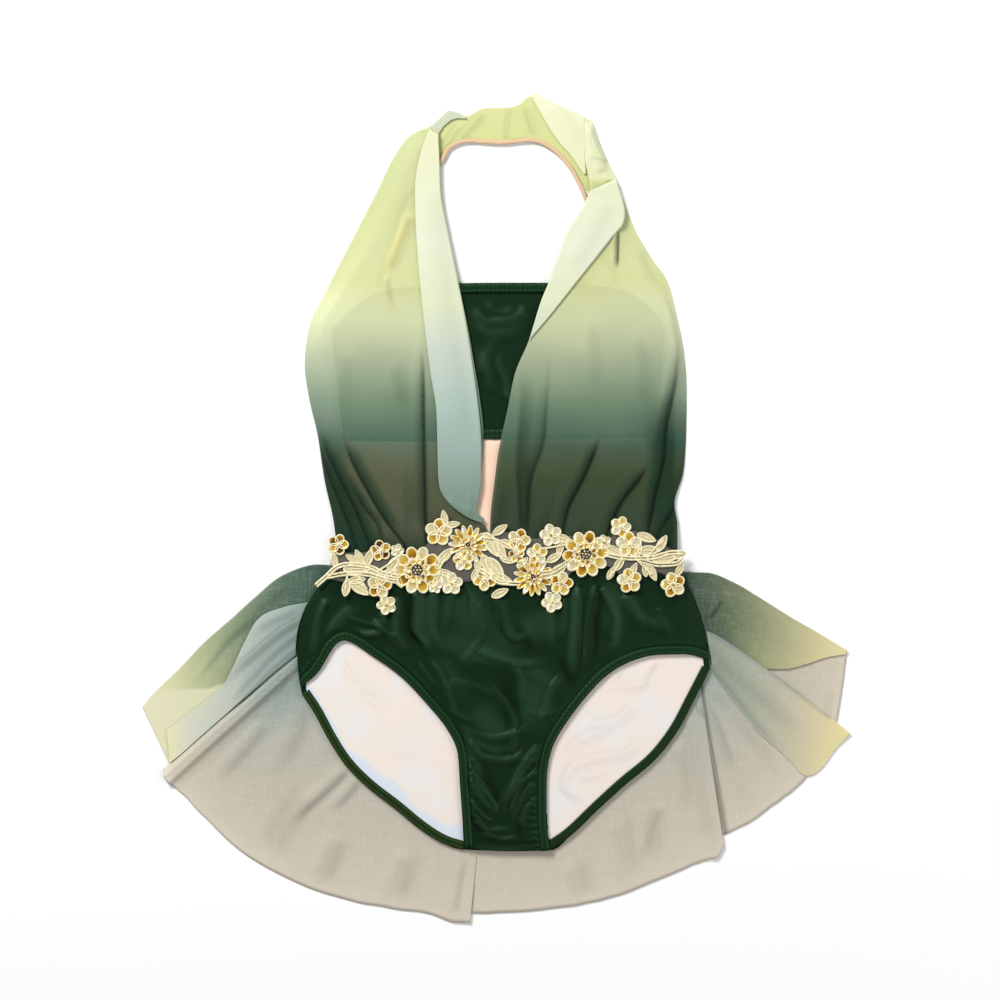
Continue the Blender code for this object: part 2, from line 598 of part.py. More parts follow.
def build_bodice():
    green = bpy.data.materials["green lycra"]
    green_band = bpy.data.materials["green elastic casing"]
    nude = finish_of("nude lining", NUDE, 0.8)
    cloth("bandeau_back", BANDEAU, 20, 2, green)
    cloth("bandeau_front", BANDEAU, 26, 8, green, BANDEAU_FOLDS, keep=on_bandeau, lift=SECOND)
    top = [(r.ax, r.ay) for r in BANDEAU]
    bottom = [(r.bx, r.by) for r in BANDEAU]
    band("bandeau_top_band", top, -BANDEAU_BAND, BANDEAU_BAND, THIRD, 24, green_band)
    band("bandeau_bottom_band", bottom, 0.0, BANDEAU_BAND, THIRD, 12, green_band)
    cloth("midriff_back", MIDRIFF, 8, 2, nude)
    rising = [r._replace(az=SECOND, bz=3.9, rise_from=0.4) for r in MIDRIFF]
    cloth("midriff_front", rising, 8, 5, nude)


def on_bandeau(x, y):
    """Wrinkles of the bandeau show in the neckline only, clear of its bands and of the drapes."""
    left_drape, right_drape = -15 - 0.16 * (y - 82), 9 + 0.3 * (y - 82)
    between = ease((x - left_drape - 2) / 7) * ease((right_drape - x - 2) / 7)
    return ease((y - 70) / 10) * ease((172 - y) / 12) * between


def build_drapes():
    mesh_lime = finish_of("printed mesh, lime end", MESH_LIME, 0.8)
    right_side = bpy.data.materials["printed mesh, right side"]
    turned = bpy.data.materials["printed mesh, turned back"]
    nude = finish_of("nude elastic", NUDE, 0.6)
    cloth("drape_left", DRAPE_LEFT, 24, 15, right_side, DRAPE_LEFT_FOLDS, keep=on_left_drape)
    cloth("drape_right", DRAPE_RIGHT, 24, 17, right_side, DRAPE_RIGHT_FOLDS, keep=on_right_drape)
    cloth("facing_left", FACING_LEFT, 24, 2, turned)
    cloth("facing_right", FACING_RIGHT, 16, 2, turned)
    cloth("neck_band", NECK_BAND, 20, 4, mesh_lime, NECK_FOLDS, keep=on_neck_band)
    cloth("neck_tuck", NECK_TUCK, 4, 2, turned)
    cloth("neck_flap", NECK_FLAP, 6, 3, turned)
    cloth("shoulder_roll", SHOULDER_ROLL, 8, 6, mesh_lime, ROLL_FOLDS)
    centre = [(x, y) for x, y, z in STRAP]
    near, far = beside(centre, -STRAP_WIDTH / 2), beside(centre, STRAP_WIDTH / 2)
    rows = [Row(*a, p[2], *b, p[2]) for a, b, p in zip(near, far, STRAP)]
    cloth("neck_strap", rows, 34, 1, nude, wall=STRAP_WALL)


def on_left_drape(x, y):
    """Folds lie flat under the belt and under the facing."""
    return under_belt(x, y) * ease((-56.0 - x) / 6.0)


def on_right_drape(x, y):
    under_facing = 1 - ease((y - 132.0) / 8.0) * ease((76.0 - x) / 8.0)
    return under_belt(x, y) * under_facing


def on_neck_band(x, y):
    """Folds of the band stop short of the strap on its inner edge."""
    return ease((y - 318.5) / 5.0)


def motif_solid(motif, number):
    """A raised flower or leaf: a primitive cone, lobed by its petals or drawn out along its length."""
    petals = {"bloom": 10, "flower": 5, "leaf": 0}[motif.kind]
    segments = {"bloom": 20, "flower": 15, "leaf": 8}[motif.kind]
    rise = FLOWER_RISE * {"bloom": 1.0, "flower": 0.85, "leaf": 0.6}[motif.kind] + 0.013 * number
    depth = rise + NET_WALL / 2
    bm = bmesh.new()
    bmesh.ops.create_cone(bm, cap_ends=True, segments=segments, radius1=1.0, radius2=0.62, depth=depth)
    for vert in bm.verts:
        angle = math.atan2(vert.co.y, vert.co.x)
        lobe = 1 + 0.16 * math.cos(petals * angle) if petals else 1
        vert.co.x *= motif.size * lobe
        vert.co.y *= motif.size * (lobe if petals else 0.42)
        vert.co.z += BELT_Z + NET_WALL / 2 + depth / 2
    turn = math.radians(motif.turn)
    for vert in bm.verts:
        x, y = vert.co.x, vert.co.y
        vert.co.x = motif.x + x * math.cos(turn) - y * math.sin(turn)
        vert.co.y = motif.y + x * math.sin(turn) + y * math.cos(turn)
        vert.co /= 1000
    mesh = bpy.data.meshes.new(f"motif_{number}")
    bm.to_mesh(mesh)
    bm.free()
    obj = bpy.data.objects.new(f"motif_{number}", mesh)
    obj.display_type = "WIRE"
    obj.hide_render = True
    motifs.objects.link(obj)
    return obj


def build_belt():
    """The applique belt: a net with raised flowers and leaves, joined into one body."""
    gold = finish_of("gold applique", GOLD, 0.5)
    net = cloth("applique_belt", NET, 24, 4, gold, wall=NET_WALL)
    for number, motif in enumerate(MOTIFS):
        motif_solid(motif, number)
    join = net.modifiers.new("raised motifs", "BOOLEAN")
    join.operation = "UNION"
    join.operand_type = "COLLECTION"
    join.collection = motifs
    join.solver = "EXACT"
    join.use_self = True


clear_scene()
garment = new_collection("skirted leotard")
motifs = new_collection("belt motifs", hidden=True)
build_skirt()
build_brief()
build_bodice()
build_drapes()
build_belt()
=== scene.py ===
"""Looks of a skirted halter leotard, laid flat on a pale surface: lycra, sheer printed mesh and a belt applique."""

import math
from collections import namedtuple

import bmesh
import bpy
import numpy as np
from mathutils import Matrix, Vector


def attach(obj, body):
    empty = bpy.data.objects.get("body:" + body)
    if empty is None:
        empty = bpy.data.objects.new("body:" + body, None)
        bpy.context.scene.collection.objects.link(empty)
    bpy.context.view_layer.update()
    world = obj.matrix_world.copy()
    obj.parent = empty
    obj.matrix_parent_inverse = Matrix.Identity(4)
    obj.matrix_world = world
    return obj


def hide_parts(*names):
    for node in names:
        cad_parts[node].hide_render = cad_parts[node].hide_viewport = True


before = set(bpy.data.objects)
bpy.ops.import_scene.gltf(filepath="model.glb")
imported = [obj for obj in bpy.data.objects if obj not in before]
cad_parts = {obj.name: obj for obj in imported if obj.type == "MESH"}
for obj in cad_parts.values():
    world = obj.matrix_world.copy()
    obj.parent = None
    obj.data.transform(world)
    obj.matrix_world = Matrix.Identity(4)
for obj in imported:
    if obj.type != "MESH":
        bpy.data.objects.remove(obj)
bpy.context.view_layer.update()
bpy.ops.object.select_all(action="DESELECT")

# Heights of the layers of the solids, in millimetres
LAYER = 1.5
SECOND, THIRD, FOURTH, FIFTH = LAYER, 2 * LAYER, 3 * LAYER, 4 * LAYER
LINING_Z = 2.3
BELT_Z = 8.1
MOTIF_Z = BELT_Z + 0.4
# The thin cloth that stands for the solids, in millimetres
MESH_WALL = 0.35
LYCRA_WALL = 0.7
LINING_WALL = 0.5
STRAP_WALL = 0.9
NET_WALL = 0.3
LEG_BAND = 7.0
BANDEAU_BAND = 8.0
STRAP_HALF_WIDTH = 1.45
STITCH_PITCH = 1.3
# Places on the garment, in millimetres
WAIST_Y = -48.0
HIP_LEFT, HIP_RIGHT = -166.6, 180.4
BELT_EDGE_Y = -62.0
STEEP_EDGE = (43.0, -193.0)
# How the folds of the brief's front are drawn: shares of their listed widths and heights, and limits in millimetres
BRIEF_FOLD_WIDTHS = 0.66
BRIEF_FOLD_GAIN = 1.4
BRIEF_FOLD_LIMIT = 5.6
BRIEF_LINE_WIDTH = 1.9
# The height in millimetres at which the mark for raised cloth is full
GATHER_SCALE = 3.0
LYCRA_SHADE = "#020602"
# The camera's lens and sensor in millimetres, and the width of the picture on the floor in metres
LENS, SENSOR, PHOTO_WIDTH = 85.0, 36.0, 0.85

# A row of a ruled sheet runs from edge A to edge B, bowed sideways, and rises from az to bz between two shares of it
Row = namedtuple("Row", "ax ay az bx by bz bow rise_from rise_to", defaults=(0.0, 0.0, 1.0))
# A column of the brief runs from the waist down to its end
Column = namedtuple("Column", "waist_x end_x end_y bow")
# A crease is a ridge along its path, with a width on each side of it in millimetres. `line` is how dark the painted
# shade line along it is. It is full from share `start` of its path to share `end`, and dies out towards both ends.
Crease = namedtuple("Crease", "path left right height line start end", defaults=(0.0, 0.2, 0.6))
# A broad soft painted highlight on the cloth at x, y, along its way, or painted shade in a hollow (strength below
# nought)
Light = namedtuple("Light", "x y way_x way_y width length strength")
# A motif of the belt: its centre, radius or half length, turn in degrees, and tone from 0 for cream to 1 for amber
Motif = namedtuple("Motif", "kind x y size turn tone", defaults=(0.0,))


def table_of(kind):
    """A function that makes a list of named tuples of one kind from the lines of a table."""
    return lambda *lines: [kind(*line) for line in lines]


def flat_rows(z, *lines):
    """Rows of a sheet that lies at one height."""
    return [Row(ax, ay, z, bx, by, z) for ax, ay, bx, by in lines]


rows_of, columns_of, creases_of = table_of(Row), table_of(Column), table_of(Crease)

DRAPE_LEFT = rows_of(
    (-53, 326, 1, -49, 318, 3.2),
    (-74, 316, 0, -48, 297, 3.2, 0, 0, 0.50),
    (-88, 297, 0, -47.6, 279, 3.2, 0, 0, 0.40),
    (-101, 270, 0, -46, 262, 3.2, 0, 0, 0.35),
    (-116, 241, 0, -42, 236, 3.4, 0, 0, 0.30),
    (-142, 190, 0, -32, 190, FOURTH, 0, 0, 0.16),
    (-160, 151, 0, -24, 151, FOURTH, 0, 0, 0.10),
    (-163, 122, 0, -19, 122, FOURTH, 0, 0, 0.13),
    (-159, 92, 0, -14, 92, FOURTH, 0, 0, 0.14),
    (-152, 62, 0.3, -11, 62, FOURTH, 0, 0, 0.11),
    (-146, 24, 1, -13, 24, FOURTH, 0, 0, 0.08),
    (-139.5, -4, 2.3, -17.5, -5, 4.9, 0, 0, 0.06),
    (-137, -20, 3.4, -8.5, -17, 5.3, 0, 0, 0.06),
    (-135.5, -33, 4.2, -6.4, -33, 5.6, 0, 0, 0.06),
    (-135, -47.6, 4.8, -6.4, -47.6, FIFTH, 0, 0, 0.06),
)
DRAPE_RIGHT = rows_of(
    (101, 279.5, 0.6, 80, 278, 3.2, 0, 0, 0.50),
    (108, 261, 0, 77, 256, 3.2, 0, 0, 0.40),
    (118, 236, 0, 64, 238, 3.4, 0, 0, 0.35),
    (132, 212, 0, 52, 212, 3.8, 0, 0, 0.25),
    (145, 193, 0, 45, 193, FOURTH, 0, 0, 0.16),
    (153.5, 161, 0, 36, 170, FOURTH, 0, 0, 0.06),
    (159, 133, 0, 27, 141, FOURTH, 0, 0, 0.06),
    (161.5, 99, 0, 16, 115, FOURTH, 0, 0, 0.12),
    (161, 62, 0, 9, 82, FOURTH, 0, 0, 0.14),
    (158.5, 30, 0.5, 2, 50, FOURTH, 0, 0, 0.11),
    (151, 4, 2, -2, 20, FOURTH, 0, 0, 0.05),
    (153.5, -14, 2.6, -5, -6, 4.9, 0, 0, 0.05),
    (153.5, -31, 4.2, -5.6, -31, 5.6, 0, 0, 0.05),
    (153, -47.6, 4.8, -5.6, -47.6, FIFTH, 0, 0, 0.05),
)
FACING_LEFT = rows_of(
    (-57, 321, 4.8, -49.5, 317, 4.8),
    (-65, 298, 4.8, -48.5, 296.5, 4.8),
    (-69, 269, 4.8, -47.5, 269, 4.8),
    (-68, 233, 5.1, -41, 233, 5.1),
    (-65, 194, FIFTH, -33, 194, FIFTH),
    (-61, 155, FIFTH, -26, 158, FIFTH),
    (-56, 115, FIFTH, -20, 120, FIFTH),
    (-51, 82, FIFTH, -15, 83, FIFTH),
    (-50, 49, FIFTH, -12.5, 49, FIFTH),
    (-49, 22, FIFTH, -12.5, 24, FIFTH),
    (-42, 6, 6.2, -15, 7, 6.2),
    (-26, -7, 6.6, -17, -2, 6.6),
    (-11, -13, 6.8, -10, -9.5, 6.8),
)
FACING_RIGHT = rows_of(
    (79.5, 269, 4.8, 101.5, 279, 4.8),
    (74, 257, 4.8, 109, 251, 4.8),
    (66, 244, 5, 108, 242, 5),
    (59, 233, 5.1, 98.5, 230, 5.1),
    (52, 212, 5.5, 85, 213, 5.5),
    (45, 193, FIFTH, 69, 193, FIFTH),
    (38, 176, FIFTH, 57, 178, FIFTH),
    (33, 160, FIFTH, 45, 163, FIFTH),
    (27.5, 142, FIFTH, 29.5, 145, FIFTH),
)
NECK_BAND = flat_rows(
    0, (-54, 319, -52, 288), (-47, 326, -47, 290), (-39, 333, -43, 303), (-26, 333, -35, 311), (-9, 340, -21, 313),
    (6, 340, 0, 311), (19, 343, 17, 313), (29, 350, 31, 313), (47, 342, 42, 309), (66, 332, 53, 301),
    (80, 314, 65, 289), (92, 292, 73, 276), (97, 276, 79, 266),
)
NECK_TUCK = rows_of(
    (-56, 323, 2.6, -50, 317, 2.6),
    (-52.5, 327, SECOND, -47, 321, SECOND),
    (-48, 331, SECOND, -44, 325, SECOND),
    (-40, 337.5, SECOND, -37, 330, SECOND),
    (-32, 335.5, SECOND, -31, 331, SECOND),
    (-25.5, 332, SECOND, -26, 330.5, SECOND),
)
NECK_FLAP = rows_of(
    (29.5, 350.5, SECOND, 33, 352.7, SECOND),
    (38, 335, SECOND, 57, 340, SECOND),
    (46, 321, SECOND, 75, 331, SECOND),
    (54.5, 309, SECOND, 75.5, 314, SECOND),
    (64, 298.5, SECOND, 75, 299, SECOND),
    (74.5, 283, SECOND, 76, 284, SECOND),
)
SHOULDER_ROLL = rows_of(
    (75, 331, 2, 80.5, 329.5, 0.6),
    (75, 313, 2, 88, 309, 0, 0, 0.45),
    (75, 297, 2, 94.5, 294, 0, 0, 0.75),
    (78.5, 281.4, SECOND, 101.5, 281, 0.3, 0, 0.65),
    (80, 274, SECOND, 104, 273, 1.8, 0, 0.65),
)
STRAP = (
    (-100.5, 190, 1.5), (-98, 199, 0.8), (-92, 219, 0), (-80, 258, 0), (-64, 279, 0), (-56, 285.5, 0.6),
    (-50.5, 290, 1.5), (-45.5, 297, 1.5), (-39, 307, 1.5), (-23, 312, 1.5), (3, 310.5, 1.5), (28, 312.5, 1.5),
    (44, 307.5, 1.5), (58, 295.5, 1.5), (68.5, 279, 1.5), (77, 260, 0.6), (88, 228, 0), (99, 199, 0.8),
    (102, 190, 1.5),
)
BANDEAU = flat_rows(
    0, (-140, 150, -130, 59), (-124, 167, -121, 58.5), (-102, 182, -101, 58), (-70, 188, -70, 58),
    (-35, 190.5, -35, 58.5), (3, 191, 2, 59), (40, 191, 38, 59.5), (78, 189, 75, 60), (112, 183, 105, 60.5),
    (133, 167, 124, 61), (143, 149, 133, 61.5),
)
MIDRIFF = flat_rows(
    0, (-129.5, 57.9, -128, -47.4), (-70, 57.2, -70, -47.4), (2, 58.1, 8, -47.4), (70, 58.9, 78, -47.4),
    (132.5, 60.5, 146, -47.4),
)
BRIEF_FRONT = columns_of(
    (-135, -165, -152, -16), (-127, -151, -139, -12), (-117, -130, -112, -8), (-102, -103, -127, -4),
    (-85, -81, -143, 0), (-66, -60, -165, 0), (-48, -43, -186, 0), (-36, -33, -208, 0), (-27, -31, -235, 0),
    (-19, -29, -262, 0), (-10, -27, -288, 0), (-4, -15.5, -289.5, 0), (2, -4, -290.5, 0), (8, 8, -291, 0),
    (13.5, 20.5, -291, -1), (19.5, 33, -290.7, -2.5), (25, 45.5, -290, -4), (34, 42.5, -262, 0),
    (44, 42.5, -235, 0), (55, 46, -208, 0), (68, 60, -181, 0), (85, 88, -147, 0), (103, 112, -131, 0),
    (122, 138, -124.5, 1), (140, 160, -124, 3), (153, 180, -129, 5),
)
FRONT_LEFT_LEG = slice(0, 11)
FRONT_RIGHT_LEG = slice(16, 26)
BRIEF_BACK = columns_of(
    (-135, -165, -158, -16), (-118, -155, -173, -12), (-100, -142, -197, -8), (-82, -128, -218, -4),
    (-66, -109, -237, -1), (-50, -87, -254, 0), (-34, -65, -272, 0), (-20, -46, -284, 0), (-8, -28, -290, 0),
    (8, 8, -291, 0), (24, 44, -291, 0), (36, 64, -277, 0), (52, 86, -256, 0), (70, 109, -235, 0),
    (88, 134, -214, 0), (106, 153, -190, 1), (128, 168, -162, 3), (153, 181, -137, 5),
)
BACK_LEFT_LEG = slice(0, 9)
BACK_RIGHT_LEG = slice(10, 18)
LINING_CUT = columns_of(
    (-130, -161, -156, -14), (-112, -151, -170, -10), (-96, -138, -194, -6), (-79, -124, -215, -3),
    (-64, -106, -233, -1), (-48, -85, -250, 0), (-33, -63, -268, 0), (-20, -45, -280, 0), (-8, -27, -286, 0),
    (8, 8, -287, 0), (24, 42, -287, 0), (36, 61, -273, 0), (52, 83, -252.5, 0), (70, 106, -231.5, 0),
    (88, 131, -211, 0), (106, 150, -187, 1), (127, 164, -160, 3), (148, 176, -134, 5),
)
SKIRT_BACK_LEFT = rows_of(
    (-160, -114, 0, -283, -222, 0),
    (-160, -120, 0, -282, -229, 4.2, 0, 0, 0.2),
    (-160, -125, 0, -279, -232.5, 4.2, 0, 0, 0.2),
    (-160, -131, 0, -274.5, -236.5, 1, 0, 0, 0.2),
    (-158, -138, 0, -266, -244, 0),
    (-150, -130, 0, -245, -266, 0),
    (-120, -80, 0, -213, -295, 0),
    (-96, -50, 0, -175, -316, 0),
    (-75, -49, 0, -135, -331, 0),
    (-52, -49, 0, -95, -339.5, 0),
    (-28, -49, 0, -58, -345, 0, 0, 0.84, 0.95),
    (-8, -49, 0.4, -35, -352, 0.8, 0, 0.84, 0.95),
    (7.6, -49, 0.5, -22.4, -352.5, 1.6, 0, 0.84, 0.95),
)
SKIRT_BACK_RIGHT = rows_of(
    (5, -49, 0, -25, -345, 0),
    (24, -49, 0, 8, -344, 0),
    (42, -49, 0, 40, -341.5, 0),
    (60, -49, 0, 73, -337, 0),
    (78, -49, 0, 105, -329, 0),
    (96, -50, 0, 138, -316, 0),
    (118, -54, 0, 166, -304, 0, 0, 0.55, 0.8),
    (140, -62, 0, 178, -299.5, 0.4, 0, 0.55, 0.8),
    (156, -80, 0.4, 187, -297, 1.8, 0, 0.55, 0.8),
    (165.4, -100, 0.5, 193, -287, 2, 0, 0.5, 0.8),
)
SKIRT_SIDE_RIGHT = flat_rows(
    0, (160, -100, 186, -281), (164.5, -92, 214, -268), (162.5, -84, 235, -253), (160.5, -77, 257, -236),
    (158.5, -71, 275, -214), (156.5, -66, 287, -190), (154.5, -61, 293, -160), (152.5, -56, 298, -122),
)
SKIRT_FRONT_LEFT = flat_rows(
    0, (-130, -50, -160, -114), (-152, -48, -175, -125.6), (-182, -57.5, -191, -141), (-205, -76, -207, -155),
    (-226, -95, -223, -169), (-248, -114, -239, -183.5), (-269, -136, -255, -198), (-290, -156, -268, -209.5),
    (-301, -169, -278, -218),
)
SKIRT_TURN_LEFT = rows_of(
    (-159.6, -80, SECOND, -170.3, -124.6, SECOND, -3.2),
    (-180, -84, SECOND, -186, -137, SECOND),
    (-201, -93, SECOND, -204, -152.5, SECOND),
    (-214, -114, SECOND, -221, -167.5, SECOND),
    (-231, -149, SECOND, -237, -181.5, SECOND),
    (-250, -166, SECOND, -254, -196.5, SECOND),
    (-268, -180, SECOND, -269, -210, SECOND),
    (-280, -189, SECOND, -277.5, -216.5, SECOND),
)
SKIRT_FRONT_RIGHT = rows_of(
    (157.8, -54.4, SECOND, 177.1, -104.6, SECOND, 2),
    (179, -55, SECOND, 190, -112, SECOND),
    (203, -64, SECOND, 203, -121, SECOND),
    (220, -74, SECOND, 216, -129, SECOND),
    (236, -84, SECOND, 228, -137, SECOND),
    (252, -94, SECOND, 245, -137, SECOND),
    (268, -103, SECOND, 262, -133, SECOND),
    (283, -112, SECOND, 280, -127, SECOND),
    (298, -121, SECOND, 297, -124, SECOND),
)
SKIRT_TURN_RIGHT = rows_of(
    (178, -104, THIRD, 184, -139, 1, 0, 0.2, 0.9),
    (193, -111, THIRD, 193, -153, 0.5, 0, 0.2, 0.9),
    (209, -122, THIRD, 206, -175, 0.5, 0, 0.2, 0.9),
    (225, -133.5, THIRD, 221, -190, 0.5, 0, 0.2, 0.9),
    (241, -145, 2.4, 236, -203, 0.5, 0, 0.2, 0.9),
    (257, -157, SECOND, 250, -216, 0.5),
    (272, -169, SECOND, 263, -228, 0.5),
    (286, -179.5, SECOND, 275, -222, 0.5),
    (300.5, -191.5, SECOND, 289, -203.5, 0.5),
)
NET = flat_rows(
    BELT_Z, (-143, -60, -139, -37), (-126, -64, -122, -38), (-100, -76, -96, -36), (-84, -62, -82, -40),
    (-66, -64, -62, -34), (-46, -64, -44, -15), (-20, -62, -18, -20), (6, -66, 6, -20), (30, -66, 32, -26),
    (47, -74, 50, -22), (64, -54, 66, -24), (90, -48, 92, -26), (112, -60, 110, -18), (134, -54, 134, -26),
    (150, -60, 151, -37), (157, -46, 157, -39),
)
LARGE_FLOWERS = (
    ("cups", -67, -52.5, 18.5, 0, 0.42), ("spokes", -24, -31, 15.5, 10, 0.36), ("spokes", 31, -58, 15.5, 25, 0.42),
    ("cups", 75.5, -39, 18, 5, 0.42),
)
FLOWERS = (
    (-134, -31, 8.5, 0, 0.70), (-98, -36, 8.5, 30, 0.80), (-49, -20.5, 11, 12, 0.36), (-99, -66, 10, 8, 0.45),
    (-93, -82, 8, 40, 0.10), (-38, -64, 9, 15, 0.05), (-28, -44.5, 8.5, 22, 0.30), (-10, -60, 9.5, 50, 0.45),
    (19, -27.5, 9.5, 0, 0.45), (34.5, -39, 8.5, 20, 0.30), (46, -23, 9, 30, 0.05), (55, -64, 9.5, 5, 0.50),
    (47, -79.5, 8.5, 44, 0), (105, -16, 8.5, 0, 0.22), (112, -31, 10.5, 18, 0.24), (112.5, -61.5, 10, 26, 0.40),
    (149.5, -65, 10, 33, 0.46), (91, -29, 6, 33, 0), (17, -40, 6.5, 20, 0.62), (-84, -36, 5.5, 0, 0),
    (-52, -66, 6, 10, 0),
)
LEAVES = (
    (-116, -42, 7, 115), (-108, -42, 7.5, 70), (-122, -43, 6, 150), (-137, -44, 6, 100), (-118, -51.5, 11, 2),
    (-127, -67, 7.5, 80), (-116, -68, 9, -35), (-118, -61, 7, 8), (-87, -47, 8, 55), (-91, -55, 7, 20),
    (-104, -53, 8, -15), (-83, -62, 6, -60), (-44, -8.5, 6.5, 100), (-37, -14, 6, 10), (-43, -40, 8, 45),
    (-49, -58, 7, 60), (-43, -55, 6, -10), (-48, -45, 7, 70), (-4, -31, 11, -60), (3, -36, 9, -60), (3, -18.5, 7, 35),
    (9, -44, 6, -20), (10, -31, 7, -30), (57, -26, 7, -20), (49, -42, 7, 30), (53, -52, 8, 35), (54, -34, 6, 70),
    (-8, -48, 9, -65), (-1, -51, 11, -50), (4, -60, 9, -15), (-18, -56, 6, 70), (3, -72, 7.5, 25), (-16, -48, 6, 100),
    (127, -25, 8, -20), (140, -30, 7.5, 60), (129, -36, 9, 5), (104, -47, 7, 55), (97, -55, 6, 60), (116, -52, 6, 65),
    (126, -52, 6, 95), (132, -55, 7, -65), (142, -42.5, 10, 4), (155, -52, 6, 60), (120, -36, 6, 70),
    (100, -36, 7, -25), (155, -40, 6, 20), (22, -46, 6, 40),
)
MOTIFS = (
    [Motif(*m) for m in LARGE_FLOWERS] + [Motif("flower", *m) for m in FLOWERS]
    + [Motif("leaf", *m) for m in LEAVES]
)
STEMS = (
    ((-152, -65), (-144, -58), (-135, -50), (-124, -47.5), (-108, -49.5), (-96, -55), (-83, -58)),
    ((-142, -58), (-126, -55.5), (-110, -56), (-96, -60), (-86, -62)),
    ((-126, -56), (-127, -62), (-128, -68)), ((-118, -56), (-114, -62), (-110, -68)),
    ((-100, -53), (-92, -48), (-83, -41)),
    ((-10, -25), (1, -27), (13, -34), (20, -38)), ((-17, -51), (-8, -56), (4, -63), (19, -64)),
    ((-30, -35), (-39, -39), (-46, -47)), ((38, -55), (46, -54), (52, -51), (63, -44)),
    ((40, -34), (48, -33), (58, -31)),
    ((92, -39), (106, -42), (118, -42.5), (131, -42), (149, -37.5), (157, -37.5)),
    ((122, -44.5), (138, -48), (152, -47), (157, -44)),
    ((106, -42), (103, -49), (96, -58)), ((118, -43), (126, -51), (131, -56)), ((128, -42), (134, -34), (141, -27)),
)
DOUBLE_STEMS = (0, 1, 6, 8, 10, 11)

DRAPE_LEFT_CREASES = creases_of(
    (((-113, -46), (-124, -12), (-134.5, 14), (-145, 42), (-151, 74)), 1.6, 5, 3, 1, 0, 0.65),
    (((-100, -46), (-117.5, -2), (-132, 27), (-145, 56), (-150, 80)), 1.5, 6, 2.8, 1, 0, 0.65),
    (((-70, -46), (-77, -30), (-93, -9), (-108, 16), (-122, 43), (-131, 68)), 1.4, 7, 3.2, 1, 0, 0.75),
    (((-92, -44), (-99, -14), (-111, 2), (-122, 22), (-131, 40)), 1.6, 4, 2.2, 0.8, 0, 0.6),
    (((-60, -46), (-61.5, -5), (-62.5, 50), (-63.5, 121), (-66, 150)), 6, 1.2, 2.6, 1, 0, 0.7),
    (((-127, -40), (-136, -12), (-145, 20), (-150, 50)), 3, 4, 2, 0.2, 0, 0.4),
    (((-72, -40), (-74, -10), (-74, 30), (-76, 60)), 3, 6, 1, 0.2, 0.1, 0.4),
    (((-94, 196), (-91, 182), (-86, 162)), 1.8, 4, 1.2, 0.12, 0.1, 0.4),
    (((-72, 252), (-82, 226), (-94, 197)), 4, 4, 1.3, 0.1, 0.15, 0.8),
    (((-88, 130), (-83, 104), (-79, 76)), 5, 9, 0.9, 0.15, 0.3, 0.6),
    (((-124, 140), (-128, 110), (-122, 84)), 8, 9, 0.8, 0, 0.3, 0.6),
    (((-104, 300), (-112, 270), (-126, 236)), 7, 8, 0.8, 0, 0.3, 0.6),
    (((-54, -40), (-48, -16), (-38, -8)), 2, 3, 1, 0.5, 0, 0.5),
)
DRAPE_RIGHT_CREASES = creases_of(
    (((22, -46), (22, -7), (19.5, 37), (22, 76), (25, 121), (30, 140)), 1.8, 8, 2.6, 0.6, 0, 0.5),
    (((24, -46), (25, 0), (28, 27), (38, 56), (41, 90), (44, 142)), 7, 1.6, 2.2, 0.55, 0, 0.5),
    (((54, -46), (54.5, -28), (58.5, -2), (74, 30), (88, 64)), 6, 1.3, 3.2, 1, 0, 0.8),
    (((84, -46), (90, -28), (103, 3), (121, 27), (130, 40)), 7, 1.3, 3, 1, 0, 0.8),
    (((40, -46), (41, -20), (46, 8), (52, 30)), 3, 3, 1.6, 0.35, 0, 0.4),
    (((70, -46), (74, -20), (84, 4)), 3, 3, 1.4, 0.35, 0, 0.4),
    (((5, -46), (4, -20), (8, 10), (12, 40)), 2.5, 3, 1.5, 0.4, 0, 0.5),
    (((122, -46), (126, -23), (133, 14), (139.5, 40), (142, 69), (151, 116), (152, 150)), 6, 1.7, 3.2, 1, 0, 0.65),
    (((128, -44), (131.5, -28), (142, -10), (155, 17), (158, 50)), 5, 1.6, 3, 0.8, 0, 0.6),
    (((142, -44), (147, -24), (154, 2)), 3, 3, 1.6, 0.4, 0, 0.6),
    (((102, 236), (101.6, 218), (100.8, 201)), 1.3, 3, 1.8, 0.9, 0.1, 0.7),
    (((118, 160), (126, 112), (124, 66)), 8, 10, 0.9, 0, 0.3, 0.6),
    (((78, 176), (84, 120), (80, 76)), 9, 10, 0.8, 0, 0.3, 0.6),
    (((108, -44), (112, -20), (120, -2)), 3, 3.5, 1.4, 0.35, 0, 0.4),
    (((119, 232), (128, 200), (144, 176)), 7, 7, 0.8, 0, 0.3, 0.6),
)
BANDEAU_CREASES = creases_of(
    (((-20, 172), (-6, 158), (12, 160), (30, 174)), 3, 7, 1.8, 0.35, 0.2, 0.7),
    (((-22, 160), (-4, 148), (12, 150), (24, 158)), 3, 6, 1.5, 0.25, 0.3, 0.7),
    (((-6, 176), (-2, 168), (8, 166), (16, 174)), 2, 4, 1.2, 0.3, 0.2, 0.7),
    (((22, 172), (24, 166), (22, 160)), 1.5, 2, 1, 0.5, 0.1, 0.7),
    (((9, 90), (8, 106), (2, 122), (4, 138)), 3, 4.5, 2, 0.4, 0.1, 0.6),
    (((-4, 96), (-9, 116), (-14, 138)), 4, 5, 1.5, 0.2),
    (((8, 84), (9, 92), (14, 104)), 1.6, 2.4, 1.3, 0.5, 0.1, 0.6),
    (((-16, 110), (-10, 124), (-4, 140), (2, 152)), 4, 5, 1.2, 0.2),
)
